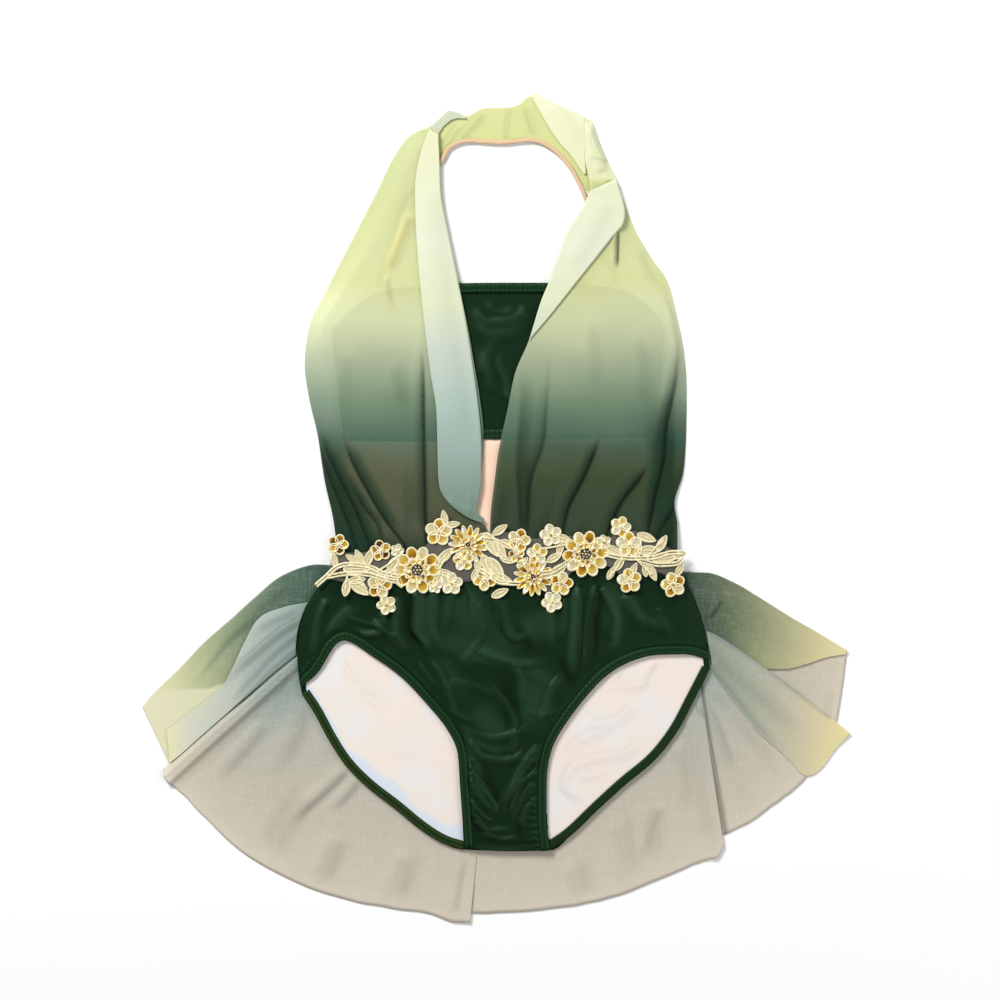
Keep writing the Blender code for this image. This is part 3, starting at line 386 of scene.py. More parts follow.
BRIEF_CREASES = creases_of(
    (((-27, -280), (4, -282), (36, -283)), 1.4, 1.4, 0.5, 0.8, 0, 0.95),
    (((-70, -74), (-70.5, -100), (-63, -114), (-57, -127)), 9, 2.2, 4.2, 0.9, 0, 0.6),
    (((-86, -80), (-88, -100), (-82, -114), (-79, -126)), 5, 2.2, 3.2, 0.7, 0, 0.6),
    (((-94, -88), (-98, -105), (-110, -108), (-122, -102)), 3, 4, 2.2, 0.4, 0.1, 0.6),
    (((-118, -84), (-128, -90), (-138, -101), (-146, -118)), 7, 6, 1.6, 0.1),
    (((-142, -76), (-150, -92), (-154, -114), (-155.5, -130)), 2.4, 5, 2.2, 0.5, 0.1, 0.7),
    (((-52, -66), (-54, -92), (-50, -112), (-40, -128)), 3, 6, 2.4, 0.45, 0, 0.5),
    (((-36, -66), (-42, -95), (-47, -114)), 2.6, 6, 1.8, 0.4, 0, 0.5),
    (((-26, -64), (-21, -80), (-24, -104)), 5, 3, 1.6, 0.3, 0, 0.5),
    (((-4, -68), (2, -88), (0, -112)), 4, 6, 1.2, 0.1, 0, 0.5),
    (((4, -74), (7, -102), (18, -112), (30, -105), (38, -92)), 7, 3, 1.1, 0.35, 0.1, 0.6),
    (((44, -84), (46, -104), (42, -124)), 4, 5, 1.5, 0.25, 0, 0.5),
    (((71, -68), (69, -102), (67, -128), (63, -148)), 2.2, 9, 3.8, 1, 0, 0.6),
    (((84, -68), (79, -95), (78, -114), (74, -138)), 2, 4, 3.6, 1, 0, 0.7),
    (((90, -70), (100, -97), (98, -114), (90, -128)), 7, 2.6, 2.6, 0.5, 0, 0.6),
    (((108, -72), (118, -88), (134, -98), (150, -102)), 8, 8, 1.6, 0.05, 0.1, 0.6),
    (((-40, -138), (-16, -128), (10, -132), (34, -142), (58, -158)), 9, 8, 1, 0.1, 0.2, 0.7),
    (((-52, -150), (-34, -147), (-10, -154), (8, -166)), 3, 6, 0.9, 0.3),
    (((-8, -146), (8, -164), (16, -184), (14, -204), (6, -224)), 3, 6, 1.3, 0.4),
    (((-40, -170), (-28, -178), (-14, -182)), 4, 4, 1.1, 0.15, 0.1, 0.5),
    (((-32, -191), (-16, -200), (0, -206), (16, -203)), 5, 6, 1.3, 0.15, 0.1, 0.6),
    (((-31, -215), (-24, -226), (-14, -242), (-2, -258)), 2.2, 5, 2.4, 0.6, 0.1, 0.8),
    (((-29, -236), (-18, -252), (-3, -267)), 1.8, 4, 2, 0.5, 0.1, 0.8),
    (((37, -200), (21, -217), (10, -238), (1, -258)), 5, 2.2, 2.6, 0.6, 0.1, 0.8),
    (((37, -221), (22, -231), (15, -244), (8, -262)), 4, 2, 2, 0.5, 0.1, 0.8),
    (((36, -244), (24, -257), (18, -273)), 3, 2, 1.5, 0.4, 0.1, 0.8),
    (((-22, -262), (-4, -273), (16, -271)), 2.4, 3, 1.2, 0.4, 0.2, 0.7),
    (((50, -172), (38, -176), (24, -170)), 4, 4, 1, 0.15, 0.1, 0.5),
    (((-24, -196), (-9, -211), (11, -213), (28, -201)), 3, 6, 1.8, 0.4, 0.1, 0.7),
    (((-24, -226), (-9, -241), (0, -253), (-4, -266)), 3, 5, 1.8, 0.4, 0.1, 0.7),
    (((30, -211), (16, -236), (3, -256)), 3, 6, 1.8, 0.4, 0.1, 0.7),
    (((-12, -274), (6, -281), (22, -278)), 2.4, 4, 1.2, 0.3, 0.1, 0.7),
    (((-103, -94), (-90, -106), (-82, -118), (-86, -126)), 2, 5, 2, 0.6, 0.1, 0.7),
    (((-126, -93), (-109, -97), (-97, -102), (-86, -114)), 2.2, 4, 1.6, 0.5, 0.1, 0.7),
    (((-30, -205), (-20, -222), (-6, -240), (2, -262)), 2.2, 4.4, 1.6, 0.6, 0.1, 0.7),
    (((34, -208), (22, -224), (10, -244), (2, -268)), 3.8, 2.2, 1.6, 0.6, 0.1, 0.7),
    (((-27, -248), (-16, -262), (-4, -276)), 2.2, 4, 1.4, 0.5, 0.1, 0.7),
    (((32, -232), (20, -248), (8, -270)), 3.8, 2, 1.4, 0.5, 0.1, 0.7),
    (((-36, -180), (-20, -190), (0, -194), (20, -188), (34, -180)), 3.2, 5.6, 1.2, 0.35, 0.2, 0.7),
    (((-56, -128), (-46, -140), (-40, -156), (-34, -176)), 3.2, 6, 1.4, 0.4, 0.2, 0.7),
    (((-66, -130), (-58, -140), (-48, -154)), 2.4, 5, 1.2, 0.35, 0.2, 0.7),
    (((56, -140), (46, -152), (40, -168), (36, -188)), 5, 3.2, 1.4, 0.4, 0.2, 0.7),
    (((14, -130), (22, -150), (20, -170)), 4, 6, 1.2, 0.25, 0.2, 0.7),
    (((-14, -78), (-12, -104), (-22, -124), (-36, -136)), 3, 6, 1.1, 0.4, 0.1, 0.6),
    (((58, -76), (58, -96), (54, -116)), 2.6, 5, 1.5, 0.4, 0.1, 0.6),
    (((114, -72), (124, -90), (128, -110)), 3, 6, 0.8, 0.35, 0.1, 0.6),
    (((138, -84), (144, -98), (150, -112)), 3, 5, 1.2, 0.35, 0.1, 0.6),
    (((-24, -118), (0, -127), (26, -133), (52, -128)), 6, 4, 1.1, 0.3, 0.2, 0.7),
)
# Painted highlights where broad folds of the brief's front would catch the light, and painted shade where they are
# hollow
BRIEF_LIGHTS = table_of(Light)(
    (3, -114, 0.2, 0.98, 13, 17, 0.5), (-23, -88, 0.5, -0.86, 17, 19, 0.75), (35, -99, 0.95, 0.3, 12, 19, 0.75),
    (-27, -117, 0.95, -0.3, 9, 24, 0.7), (-6, -182, 0.6, -0.8, 10, 17, 0.8), (33, -160, 0.1, 0.99, 13, 24, 0.85),
    (70, -92, 0, 1, 6, 20, 0.7), (-57, -88, 0, 1, 8, 18, 0.7), (-20, -216, 0.5, -0.86, 5, 18, 0.7),
    (19, -230, 0.6, 0.8, 5, 16, 0.8), (99, -80, 0.1, 0.99, 8, 22, 0.7), (-38, -142, 0.6, -0.8, 7, 20, 0.5),
    (5, -292, 1, 0, 5, 20, 0.6), (83, -99, -0.06, -1, 4.5, 26, -1.2), (-72, -94, 0.1, -0.99, 4.5, 18, -1.1),
    (24, -110, 0.5, -0.86, 4, 13, -0.9), (11, -164, 0.2, -0.98, 6.5, 22, -0.8), (60, -138, 0.45, -0.9, 4, 14, -0.9),
    (18, -208, 1, 0.1, 4, 13, -0.6), (-5, -236, 0.35, -0.94, 4, 17, -0.8), (-17, -267, 0.3, -0.95, 5, 9, -1.2),
    (19, -274, 0, 1, 3, 8, -0.8), (2, -94, 0.3, -0.95, 3.5, 11, -0.7),
)
LINING_CREASES = creases_of(
    (((-134, -120), (-126, -138), (-108, -152), (-91, -161)), 2, 4, 0.45, 0.16, 0.2, 0.7),
    (((-120, -150), (-106, -164), (-92, -170)), 3, 3, 0.35, 0.08, 0.2, 0.7),
    (((-96, -196), (-80, -206), (-66, -204)), 3, 5, 0.3, 0.08, 0.2, 0.7),
    (((72, -177), (86, -182), (100, -180), (121, -161)), 3, 6, 0.6, 0.2, 0.2, 0.7),
    (((58, -212), (72, -196), (105, -184)), 3, 5, 0.6, 0.2, 0.2, 0.7),
    (((79, -250), (58, -236), (62, -222), (84, -212), (110, -208), (124, -189)), 3, 5, 0.7, 0.22, 0.2, 0.8),
    (((108, -134), (98, -146), (112, -152), (136, -146)), 3, 4, 0.5, 0.15, 0.2, 0.7),
    (((135, -128), (126, -142), (122, -156)), 3, 3, 0.5, 0.15, 0.2, 0.7),
    (((66, -232), (80, -226), (98, -224)), 2, 4, 0.5, 0.15, 0.2, 0.7),
)
TURN_LEFT_CREASES = creases_of(
    (((-162, -92), (-181, -102), (-203, -120), (-225, -140), (-242, -160)), 5, 2, 3, 0.55, 0, 0.5),
    (((-166, -103), (-190, -122), (-210, -144), (-232, -168)), 5, 2, 2.6, 0.4, 0, 0.6),
    (((-168, -116), (-190, -134), (-212, -157), (-234, -180)), 4, 2, 2, 0.35, 0, 0.6),
    (((-176, -88), (-198, -98), (-212, -112)), 4, 4, 1.2, 0.1, 0, 0.5),
)
FRONT_LEFT_CREASES = creases_of(
    (((-176, -62), (-196, -78), (-226, -104), (-256, -132)), 5, 7, 1.4, 0.1, 0.1, 0.5),
    (((-196, -90), (-212, -98), (-236, -120), (-262, -158)), 3, 4, 1, 0.15),
    (((-206, -100), (-205, -94), (-203, -88)), 1.6, 2, 0.8, 0.5, 0.2, 0.8),
)
FRONT_RIGHT_CREASES = creases_of(
    (((190, -77), (186, -84), (178, -96)), 1.6, 3, 1.6, 0.7, 0.1, 0.7),
    (((172, -68), (200, -86), (236, -108), (274, -122)), 9, 9, 1.4, 0, 0.1, 0.5),
    (((196, -72), (226, -90), (262, -106)), 6, 6, 0.9, 0, 0.1, 0.5),
)
TURN_RIGHT_CREASES = creases_of(
    (((179, -105), (209, -123.5), (241, -146.5), (286, -181)), 1.8, 1.8, 0.4, 1, 0, 0.95),
    (((182, -120), (212, -146), (246, -176), (280, -204)), 8, 8, 1.8, 0, 0, 0.5),
    (((184, -134), (204, -158), (228, -188), (250, -210)), 5, 3, 1.4, 0.2, 0, 0.6),
)
SIDE_RIGHT_CREASES = creases_of(
    # a line of painted shade along the fold, with no ridge
    (((167, -118), (176.5, -180), (186, -236), (194.5, -284)), 2, 3, 0, 0.95, 0.1, 0.95),
    (((168, -165), (181, -176), (190, -196), (200, -226)), 3, 5, 1.6, 0.25, 0.1, 0.6),
    (((182, -150), (204, -176), (226, -206), (240, -236)), 4, 6, 1.4, 0.12, 0.1, 0.6),
    (((196, -196), (206, -226), (214, -258)), 7, 7, 1),
    (((284, -146), (278, -168), (270, -190)), 4, 4, 0.8),
)
BACK_LEFT_CREASES = creases_of(
    (((-126, -221), (-146, -240), (-166, -258), (-174, -272)), 2.4, 6, 2.4, 0.32, 0.1, 0.6),
    (((-117, -230), (-130, -246), (-146, -258)), 2.4, 6, 1.8, 0.25, 0.1, 0.5),
    # a line of painted shadow below the roll, with no ridge
    (((-170, -132), (-194, -160), (-214, -177), (-240, -200), (-270, -231)), 2, 7, 0, 0.42, 0, 0.7),
    (((-166, -160), (-176, -196), (-196, -228)), 7, 8, 1.2, 0.2, 0.2, 0.5),
    (((-190, -292), (-172, -262), (-150, -236)), 9, 9, 1.4, 0.2),
    (((-76, -290), (-84, -312), (-92, -334)), 8, 10, 1, 0.2),
    (((-196, -178), (-216, -204), (-244, -232)), 5, 7, 1.2, 0.2),
    (((-136, -276), (-146, -300), (-158, -318)), 8, 8, 1.2, 0.2),
    (((-30, -296), (-34, -320), (-38, -346)), 3, 5, 0.7, 0.2, 0.2, 0.8),
)
BACK_RIGHT_CREASES = creases_of(
    (((146, -252), (134, -262), (126, -286), (122, -302)), 3, 5, 1.2, 0.15),
    (((161, -172), (170, -208), (176, -240), (185, -285)), 6, 5, 0.9, 0.1, 0.1, 0.8),
    (((152, -196), (158, -226), (160, -262)), 5, 6, 1.2, 0.1),
    (((124, -250), (132, -278), (128, -300)), 6, 8, 1.2, 0.15),
    (((60, -300), (66, -318), (70, -334)), 9, 9, 1, 0.15),
    (((100, -262), (106, -290), (110, -318)), 8, 9, 0.9, 0.15),
)
ROLL_CREASES = creases_of(
    (((79, 328), (84, 304), (90, 284)), 4, 4, 1.4, 0.15, 0.1, 0.9),
    (((77, 322), (86, 306), (95, 290)), 3, 3.5, 1.2, 0.2, 0.1, 0.7),
    (((78, 300), (86, 298), (94, 296)), 2, 2, 0.8, 0.25, 0.2, 0.8),
)
NECK_CREASES = creases_of(
    (((-33, 312), (-22, 324), (-10, 338)), 2.6, 4, 1.3, 0.3, 0.2, 0.8),
    (((8, 314), (9, 328), (11, 341)), 1.6, 1.6, 0.9, 0.3, 0.05, 0.95),
    (((-44, 306), (-38, 316), (-30, 326)), 3, 3, 0.9, 0.3, 0.2, 0.8),
    (((34, 316), (30, 330), (26, 344)), 3, 3, 0.6, 0.3, 0.2, 0.8),
)
FLAP_CREASES = creases_of(
    (((40, 344), (56, 330), (72, 306)), 5, 5, 0.7, 0.1, 0.2, 0.7),
)
FACING_LEFT_CREASES = creases_of(
    (((-58, 280), (-52, 200), (-42, 120), (-32, 40)), 9, 9, 0.9, 0.1, 0.1, 0.8),
    (((-42, 10), (-30, 0), (-18, -6)), 3, 4, 1, 0.1, 0.2, 0.8),
    (((-24, 14), (-22, 2), (-26, -4)), 2, 2.5, 0.8, 0.1, 0.2, 0.8),
)
FACING_RIGHT_CREASES = creases_of(
    (((92, 262), (78, 234), (58, 196)), 7, 7, 0.8, 0.05, 0.1, 0.7),
)


def slopes(values):
    """The slope of a smooth line at each of its values, kept low enough that it never overshoots the next."""
    steps = np.diff(values, axis=0)
    before, after = steps[:-1], steps[1:]
    size = np.minimum(np.abs(before + after) / 2, 2 * np.minimum(np.abs(before), np.abs(after)))
    inner = np.where(before * after > 0, np.sign(before) * size, 0.0)
    return np.concatenate([steps[:1], inner, steps[-1:]])


def through(values, share):
    """Smooth values through equally spaced ones, at shares of the way from the first to the last."""
    values = np.asarray(values, float)
    span = np.clip(share, 0, 1) * (len(values) - 1)
    i = np.minimum(span.astype(int), len(values) - 2)
    f = (span - i)[:, None]
    bend = slopes(values)
    return (
        values[i] * (2 * f**3 - 3 * f**2 + 1)
        + values[i + 1] * (3 * f**2 - 2 * f**3)
        + bend[i] * (f**3 - 2 * f**2 + f)
        + bend[i + 1] * (f**3 - f**2)
    )


def ease(share):
    """From nought to one, with a soft start and end."""
    share = np.clip(share, 0, 1)
    return share * share * (3 - 2 * share)


def lie(rows, s, t):
    """Points of a ruled sheet at shares s along its rows and t from edge A to edge B, in millimetres."""
    row = Row(*through([list(r) for r in rows], s).T)
    dx, dy = row.bx - row.ax, row.by - row.ay
    length = np.hypot(dx, dy) + 1e-9
    side = np.where(-dy * row.bow >= 0, 1.0, -1.0) * np.abs(row.bow) * 4 * t * (1 - t) / length
    rise = np.clip((t - row.rise_from) / np.maximum(row.rise_to - row.rise_from, 1e-6), 0, 1)
    z = row.az + (row.bz - row.az) * ease(rise)
    return np.stack([row.ax + dx * t - dy * side, row.ay + dy * t + dx * side, z], axis=1)


def nearest_on(path, x, y):
    """How far each place is from a path, how far along the path its nearest point is, which side it is on (above
    nought to the left), and the path's length."""
    runs = np.diff(path, axis=0)
    lengths = np.hypot(runs[:, 0], runs[:, 1])
    starts = np.concatenate([[0], np.cumsum(lengths)])
    best = np.full(len(x), np.inf)
    along, signed = np.zeros(len(x)), np.zeros(len(x))
    for k, (start, run) in enumerate(zip(path, runs)):
        ox, oy = x - start[0], y - start[1]
        share = np.clip((ox * run[0] + oy * run[1]) / lengths[k] ** 2, 0, 1)
        away = np.hypot(ox - share * run[0], oy - share * run[1])
        nearer = away < best
        best = np.where(nearer, away, best)
        along = np.where(nearer, starts[k] + share * lengths[k], along)
        signed = np.where(nearer, run[0] * oy - run[1] * ox, signed)
    return best, along, signed, starts[-1]


def crease_relief(creases, x, y, widths=1.0, line_width=1.3):
    """The summed height of the creases at each point, and how dark the painted shade of their sharp lines makes it.
    `widths` is the share of their listed widths that they are drawn at, and a line is at least `line_width`
    millimetres wide."""
    height, dark = np.zeros_like(x), np.zeros_like(x)
    for crease in creases:
        path = through(crease.path, np.linspace(0, 1, 4 * len(crease.path)))
        away, along, signed, length = nearest_on(path, x, y)
        sharp = widths * min(crease.left, crease.right)
        width = widths * np.where(signed > 0, crease.left, crease.right)
        rise = ease(along / length / crease.start) if crease.start > 0 else 1.0
        fall = ease((1 - along / length) / (1 - crease.end))
        height += crease.height * np.exp(-((away / width) ** 2)) * rise * fall
        # the painted shade line lies at the foot of the crease's steeper side, where its shadow would fall
        foot = away + np.where((signed > 0) == (crease.left <= crease.right), -1.1 * sharp, 0.6 * sharp)
        shade = np.exp(-((foot / max(line_width, 0.8 * sharp)) ** 2))
        dark = np.maximum(dark, crease.line * shade * rise * fall)
    return height, dark


def puckers(path, x, y, pitch=5.6, height=1.6, reach=4.0):
    """Small gathers square to an edge, drawn up by its elastic. Two pitches and slow changes make them uneven."""
    away, along, _, _ = nearest_on(path, x, y)
    uneven_pitch = 2 * np.pi * along / pitch + 1.7 * np.sin(along / 23.0)
    wave = np.cos(uneven_pitch) + 0.5 * np.cos(2 * np.pi * along / 5.3)
    strength = 0.6 + 0.4 * np.sin(along / 17.0 + 1.0)
    band = ease((away - LEG_BAND) / 3.0) * np.exp(-np.maximum(away - LEG_BAND - 2.0, 0) / reach)
    return height * (0.5 + 0.5 * wave) * strength * band


def finish_piece(obj, slot_name, *nodes):
    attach(obj, "root")
    if nodes:
        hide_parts(*nodes)


def apply_modifiers(obj):
    bpy.ops.object.select_all(action="DESELECT")
    bpy.context.view_layer.objects.active = obj
    obj.select_set(True)
    for modifier in list(obj.modifiers):
        bpy.ops.object.modifier_apply(modifier=modifier.name)
    obj.select_set(False)


def walled(obj, thickness, offset=-1.0):
    """The shape given a thickness."""
    wall = obj.modifiers.new("wall", "SOLIDIFY")
    wall.thickness = thickness
    wall.offset = offset
    apply_modifiers(obj)
    return obj


def lay_cloth(name, rows, along, across, wall, material, relief=None, lift=0.0, frill=0.0, tint=None):
    """A thin sheet of cloth on its solid's form. relief(x, y, s, t) gives the height of its creases in millimetres
    and how dark their painted shade lines are. tint(x, y, s, t) gives where a second colour lies. `frill` waves the
    hem."""
    bm = bmesh.new()
    bmesh.ops.create_grid(bm, x_segments=along, y_segments=across, size=0.5)
    mesh = bpy.data.meshes.new(name)
    bm.to_mesh(mesh)
    bm.free()
    flat = np.zeros(len(mesh.vertices) * 3)
    mesh.vertices.foreach_get("co", flat)
    flat = flat.reshape(-1, 3)
    s, t = np.clip(flat[:, 0] + 0.5, 0, 1), np.clip(flat[:, 1] + 0.5, 0, 1)
    points = lie(rows, s, t)
    x, y = points[:, 0].copy(), points[:, 1].copy()
    raised, dark = relief(x, y, s, t) if relief else (np.zeros_like(s), np.zeros_like(s))
    points[:, 2] += raised + lift
    if frill:
        points[:, 1] += frill * np.sin(s * 61.0 + 2 * np.sin(s * 17.0)) * ease((t - 0.94) / 0.06)
    mesh.vertices.foreach_set("co", (points / 1000).ravel())
    uv = mesh.uv_layers.new(name="cut")
    corners = np.zeros(len(mesh.loops), int)
    mesh.loops.foreach_get("vertex_index", corners)
    uv.data.foreach_set("uv", np.stack([s[corners], t[corners]], axis=1).ravel())
    # line marks the painted shade along the creases; some materials also paint highlights and shade from gather and
    # tint
    marks = {"gather": raised / GATHER_SCALE, "line": dark, "tint": tint(x, y, s, t) if tint else np.zeros_like(s)}
    for mark, values in marks.items():
        kept = mesh.attributes.new(mark, "FLOAT", "POINT")
        kept.data.foreach_set("value", np.clip(values, -1, 1).astype(np.float32))
    mesh.update()
    if sum(face.normal.z * face.area for face in mesh.polygons) < 0:
        mesh.flip_normals()
    mesh.materials.append(material)
    mesh.shade_smooth()
    obj = bpy.data.objects.new(name, mesh)
    bpy.context.scene.collection.objects.link(obj)
    return walled(obj, wall / 1000, offset=1.0)


def lay_piece(name, slot_name, node, rows, along, across, wall, material, flat, held, on, area=None, **looks):
    """A sheet of cloth in place of its solid. The cut of what shows and what it lies on are not used."""
    piece = lay_cloth(name, rows, along, across, wall, material, **looks)
    finish_piece(piece, slot_name, node)


def beside(points, distance):
    """The points moved sideways, to the left of their direction of travel."""
    points = np.asarray(points, float)
    way = np.gradient(points[:, :2], axis=0)
    way /= np.hypot(way[:, 0], way[:, 1])[:, None]
    moved = points.copy()
    moved[:, 0] -= way[:, 1] * distance
    moved[:, 1] += way[:, 0] * distance
    return moved


def edge_of(columns, part):
    """The lower ends of some of the brief's columns, as a path."""
    return [(c.end_x, c.end_y) for c in columns[part]]


def brief_rows(columns, waist_y, waist_z, end_z, side_z, rise_to=1.0):
    """Rows from the waist down to each column's end. The two at the hips lie at side_z."""
    last = len(columns) - 1
    heights = [(side_z, side_z) if i in (0, last) else (waist_z, end_z) for i in range(len(columns))]
    return [
        Row(c.waist_x, waist_y, top, c.end_x, c.end_y, end, c.bow, 0.0, rise_to)
        for c, (top, end) in zip(columns, heights)
    ]


def band_rows(points, inset, width, z, low_start=0.0, low_end=0.0):
    """Rows across a flat band that follows an edge. It may lie lower at its start or its end, at a hip."""
    share = np.linspace(0, 1, 25)
    points = through(points, share)
    near, far = beside(points, inset), beside(points, inset + width)
    heights = z - low_start * ease(1 - share / 0.14) - low_end * ease(1 - (1 - share) / 0.14)
    return [Row(a[0], a[1], h, b[0], b[1], h) for a, b, h in zip(near, far, heights)]


def linear(code):
    """An sRGB hex colour as linear values."""
    parts = [int(code[i:i + 2], 16) / 255 for i in (1, 3, 5)]
    return [c / 12.92 if c <= 0.04045 else ((c + 0.055) / 1.055) ** 2.4 for c in parts] + [1.0]


def feed(tree, socket, value):
    """A socket or a value, into an input."""
    if isinstance(value, bpy.types.NodeSocket):
        tree.links.new(value, socket)
    else:
        socket.default_value = value


def add_node(tree, kind, settings=None, **inputs):
    """A node with its settings and what goes into its inputs, by their names, or by their numbers as in i0."""
    node = tree.nodes.new(kind)
    for key, value in (settings or {}).items():
        setattr(node, key, value)
    for key, value in inputs.items():
        numbered = key[0] == "i" and key[1:].isdigit()
        feed(tree, node.inputs[int(key[1:]) if numbered else key.replace("_", " ")], value)
    return node


def new_material(name, roughness, sheen=0.0, alpha=1.0, specular=0.5, metallic=0.0):
    """A material, its node tree and its shader."""
    material = bpy.data.materials.new(name)
    material.use_nodes = True
    shader = material.node_tree.nodes["Principled BSDF"]
    settings = {
        "Roughness": roughness, "Sheen Weight": sheen, "Sheen Roughness": 0.4, "Alpha": alpha,
        "Specular IOR Level": specular, "Metallic": metallic,
    }
    for key, value in settings.items():
        shader.inputs[key].default_value = value
    return material, material.node_tree, shader


def clothe(tree, shader, colour, height, strength, depth=0.0003):
    """The shader's colour, and bump from a height that is `depth` metres at most."""
    tree.links.new(colour, shader.inputs["Base Color"])
    bump = add_node(tree, "ShaderNodeBump", Height=height, Strength=strength, Distance=depth)
    tree.links.new(bump.outputs["Normal"], shader.inputs["Normal"])


def maths(tree, operation, *values):
    """The result of an operation on sockets and values."""
    inputs = {f"i{n}": value for n, value in enumerate(values)}
    return add_node(tree, "ShaderNodeMath", {"operation": operation}, **inputs).outputs[0]


def ranged(tree, value, low, high, most=1.0, least=0.0):
    """From `least` to `most`, as a value goes from low to high."""
    return add_node(
        tree, "ShaderNodeMapRange", Value=value, From_Min=low, From_Max=high, To_Min=least, To_Max=most,
    ).outputs["Result"]


def ramp_of(tree, share, stops, interpolation="EASE"):
    """A colour ramp with (place, hex) stops, read at a share."""
    node = add_node(tree, "ShaderNodeValToRGB", i0=share)
    node.color_ramp.interpolation = interpolation
    places = node.color_ramp.elements
    while len(places) > 1:
        places.remove(places[-1])
    places[0].position, places[0].color = stops[0][0], linear(stops[0][1])
    for place, code in stops[1:]:
        places.new(place).color = linear(code)
    return node.outputs["Color"]


def tinted(tree, colour, factor, towards, mode="MIX"):
    """A colour mixed towards another by a factor. Inputs 6 and 7 of the node are its colours."""
    node = add_node(tree, "ShaderNodeMix", {"data_type": "RGBA", "blend_type": mode}, i0=factor, i6=colour, i7=towards)
    return node.outputs[2]


def place_of(tree):
    """Object coordinates, in millimetres."""
    where = add_node(tree, "ShaderNodeTexCoord").outputs["Object"]
    return add_node(tree, "ShaderNodeVectorMath", {"operation": "SCALE"}, i0=where, Scale=1000.0).outputs[0]


def cut_of(tree):
    """The piece's own cut: shares along it and across it."""
    return add_node(tree, "ShaderNodeUVMap", {"uv_map": "cut"}).outputs["UV"]


def split(tree, vector):
    return add_node(tree, "ShaderNodeSeparateXYZ", Vector=vector).outputs


def mottled(tree, place, size, detail=3.0):
    """Noise with patches of a size in millimetres."""
    return add_node(tree, "ShaderNodeTexNoise", Vector=place, Scale=1.0 / size, Detail=detail).outputs["Fac"]


def waves(tree, place, direction, scale, **more):
    """Lines across a direction. Their pitch is 0.314 / scale."""
    return add_node(
        tree, "ShaderNodeTexWave", {"bands_direction": direction}, Vector=place, Scale=scale, **more,
    ).outputs["Fac"]


def mark_of(tree, name, low, high, most):
    """A point attribute, from nothing at low to `most` at high."""
    mark = add_node(tree, "ShaderNodeAttribute", {"attribute_name": name})
    return ranged(tree, mark.outputs["Fac"], low, high, most)


def printed_mesh(name, stops, axis, alpha, spread=(0.0, 1.0), wander=0.02, fold_tone="#10281C", fold_share=0.4,
                 crease_shade_tone="#0B1A12", rib=0.05, tint="#F4EDA0", linen=0.0, doubled=0.0):
    """Nylon power mesh with an ombre print: a warp knit with 0.5 mm holes that the layer beneath shows through. Its
    wavy ribs are drawn 1.9 mm apart, coarser than the real 0.6 mm, so that they show. The print reads Y in
    millimetres, or runs along or across the piece's own cut (U or V)."""
    material, tree, shader = new_material(name, 0.85, sheen=0.04, alpha=alpha, specular=0.12)
    place = place_of(tree)
    height = split(tree, place)["Y"] if axis == "Y" else split(tree, cut_of(tree))[{"U": "X", "V": "Y"}[axis]]
    drift = wander * (spread[1] - spread[0])
    clouds = ranged(tree, mottled(tree, place, 45.0, 1.0), 0.0, 1.0, drift, -drift)
    colour = ramp_of(tree, ranged(tree, maths(tree, "ADD", height, clouds), *spread), stops, "LINEAR")
    ribs = waves(tree, place, "Y", 0.165, Distortion=5.0, Detail=2.0, Detail_Scale=0.12)
    grain = mottled(tree, place, 1.2, 2.0)
    lit = maths(tree, "MULTIPLY", maths(tree, "MULTIPLY", ribs, grain), rib * 2)
    pale = tinted(tree, colour, lit, (0.5, 0.52, 0.5, 1), "SCREEN")
    if linen:
        # slubs both ways, as the cloth shows where it lies flat
        for stretch in ((0.9, 0.09, 1.0), (0.09, 0.9, 1.0)):
            stretched = add_node(tree, "ShaderNodeMapping", Vector=place, Scale=stretch).outputs["Vector"]
            slub = ranged(tree, mottled(tree, stretched, 1.0, 1.0), 0.5, 0.75, linen)
            pale = tinted(tree, pale, slub, (0.9, 0.86, 0.78, 1))
    # mixed towards the tint's colour where the tint mark lies above nought
    recoloured = tinted(tree, pale, mark_of(tree, "tint", 0.0, 1.0, 0.8), linear(tint))
    double = tinted(tree, recoloured, mark_of(tree, "tint", 0.0, -1.0, 0.9), linear(fold_tone))
    # darker on raised folds: partly the extra layers of cloth in a pleat, partly painted shade
    deep = tinted(tree, double, mark_of(tree, "gather", 0.15, 1.0, fold_share), linear(fold_tone))
    # painted shade along the creases' sharp lines
    crease_shaded = tinted(tree, deep, mark_of(tree, "line", 0.0, 1.0, 0.85), linear(crease_shade_tone))
    if doubled:
        # where the cloth lies double or is folded, less of what is beneath shows through
        folds = maths(tree, "MAXIMUM", mark_of(tree, "gather", 0.2, 1.2, 0.7), mark_of(tree, "line", 0.0, 1.0, 0.8))
        layers = maths(tree, "MAXIMUM", folds, mark_of(tree, "tint", 0.0, -1.0, 1.0))
        tree.links.new(maths(tree, "MULTIPLY_ADD", layers, doubled, alpha), shader.inputs["Alpha"])
    clothe(tree, shader, crease_shaded, maths(tree, "MULTIPLY_ADD", ribs, 0.4, grain), 0.2)
    return material


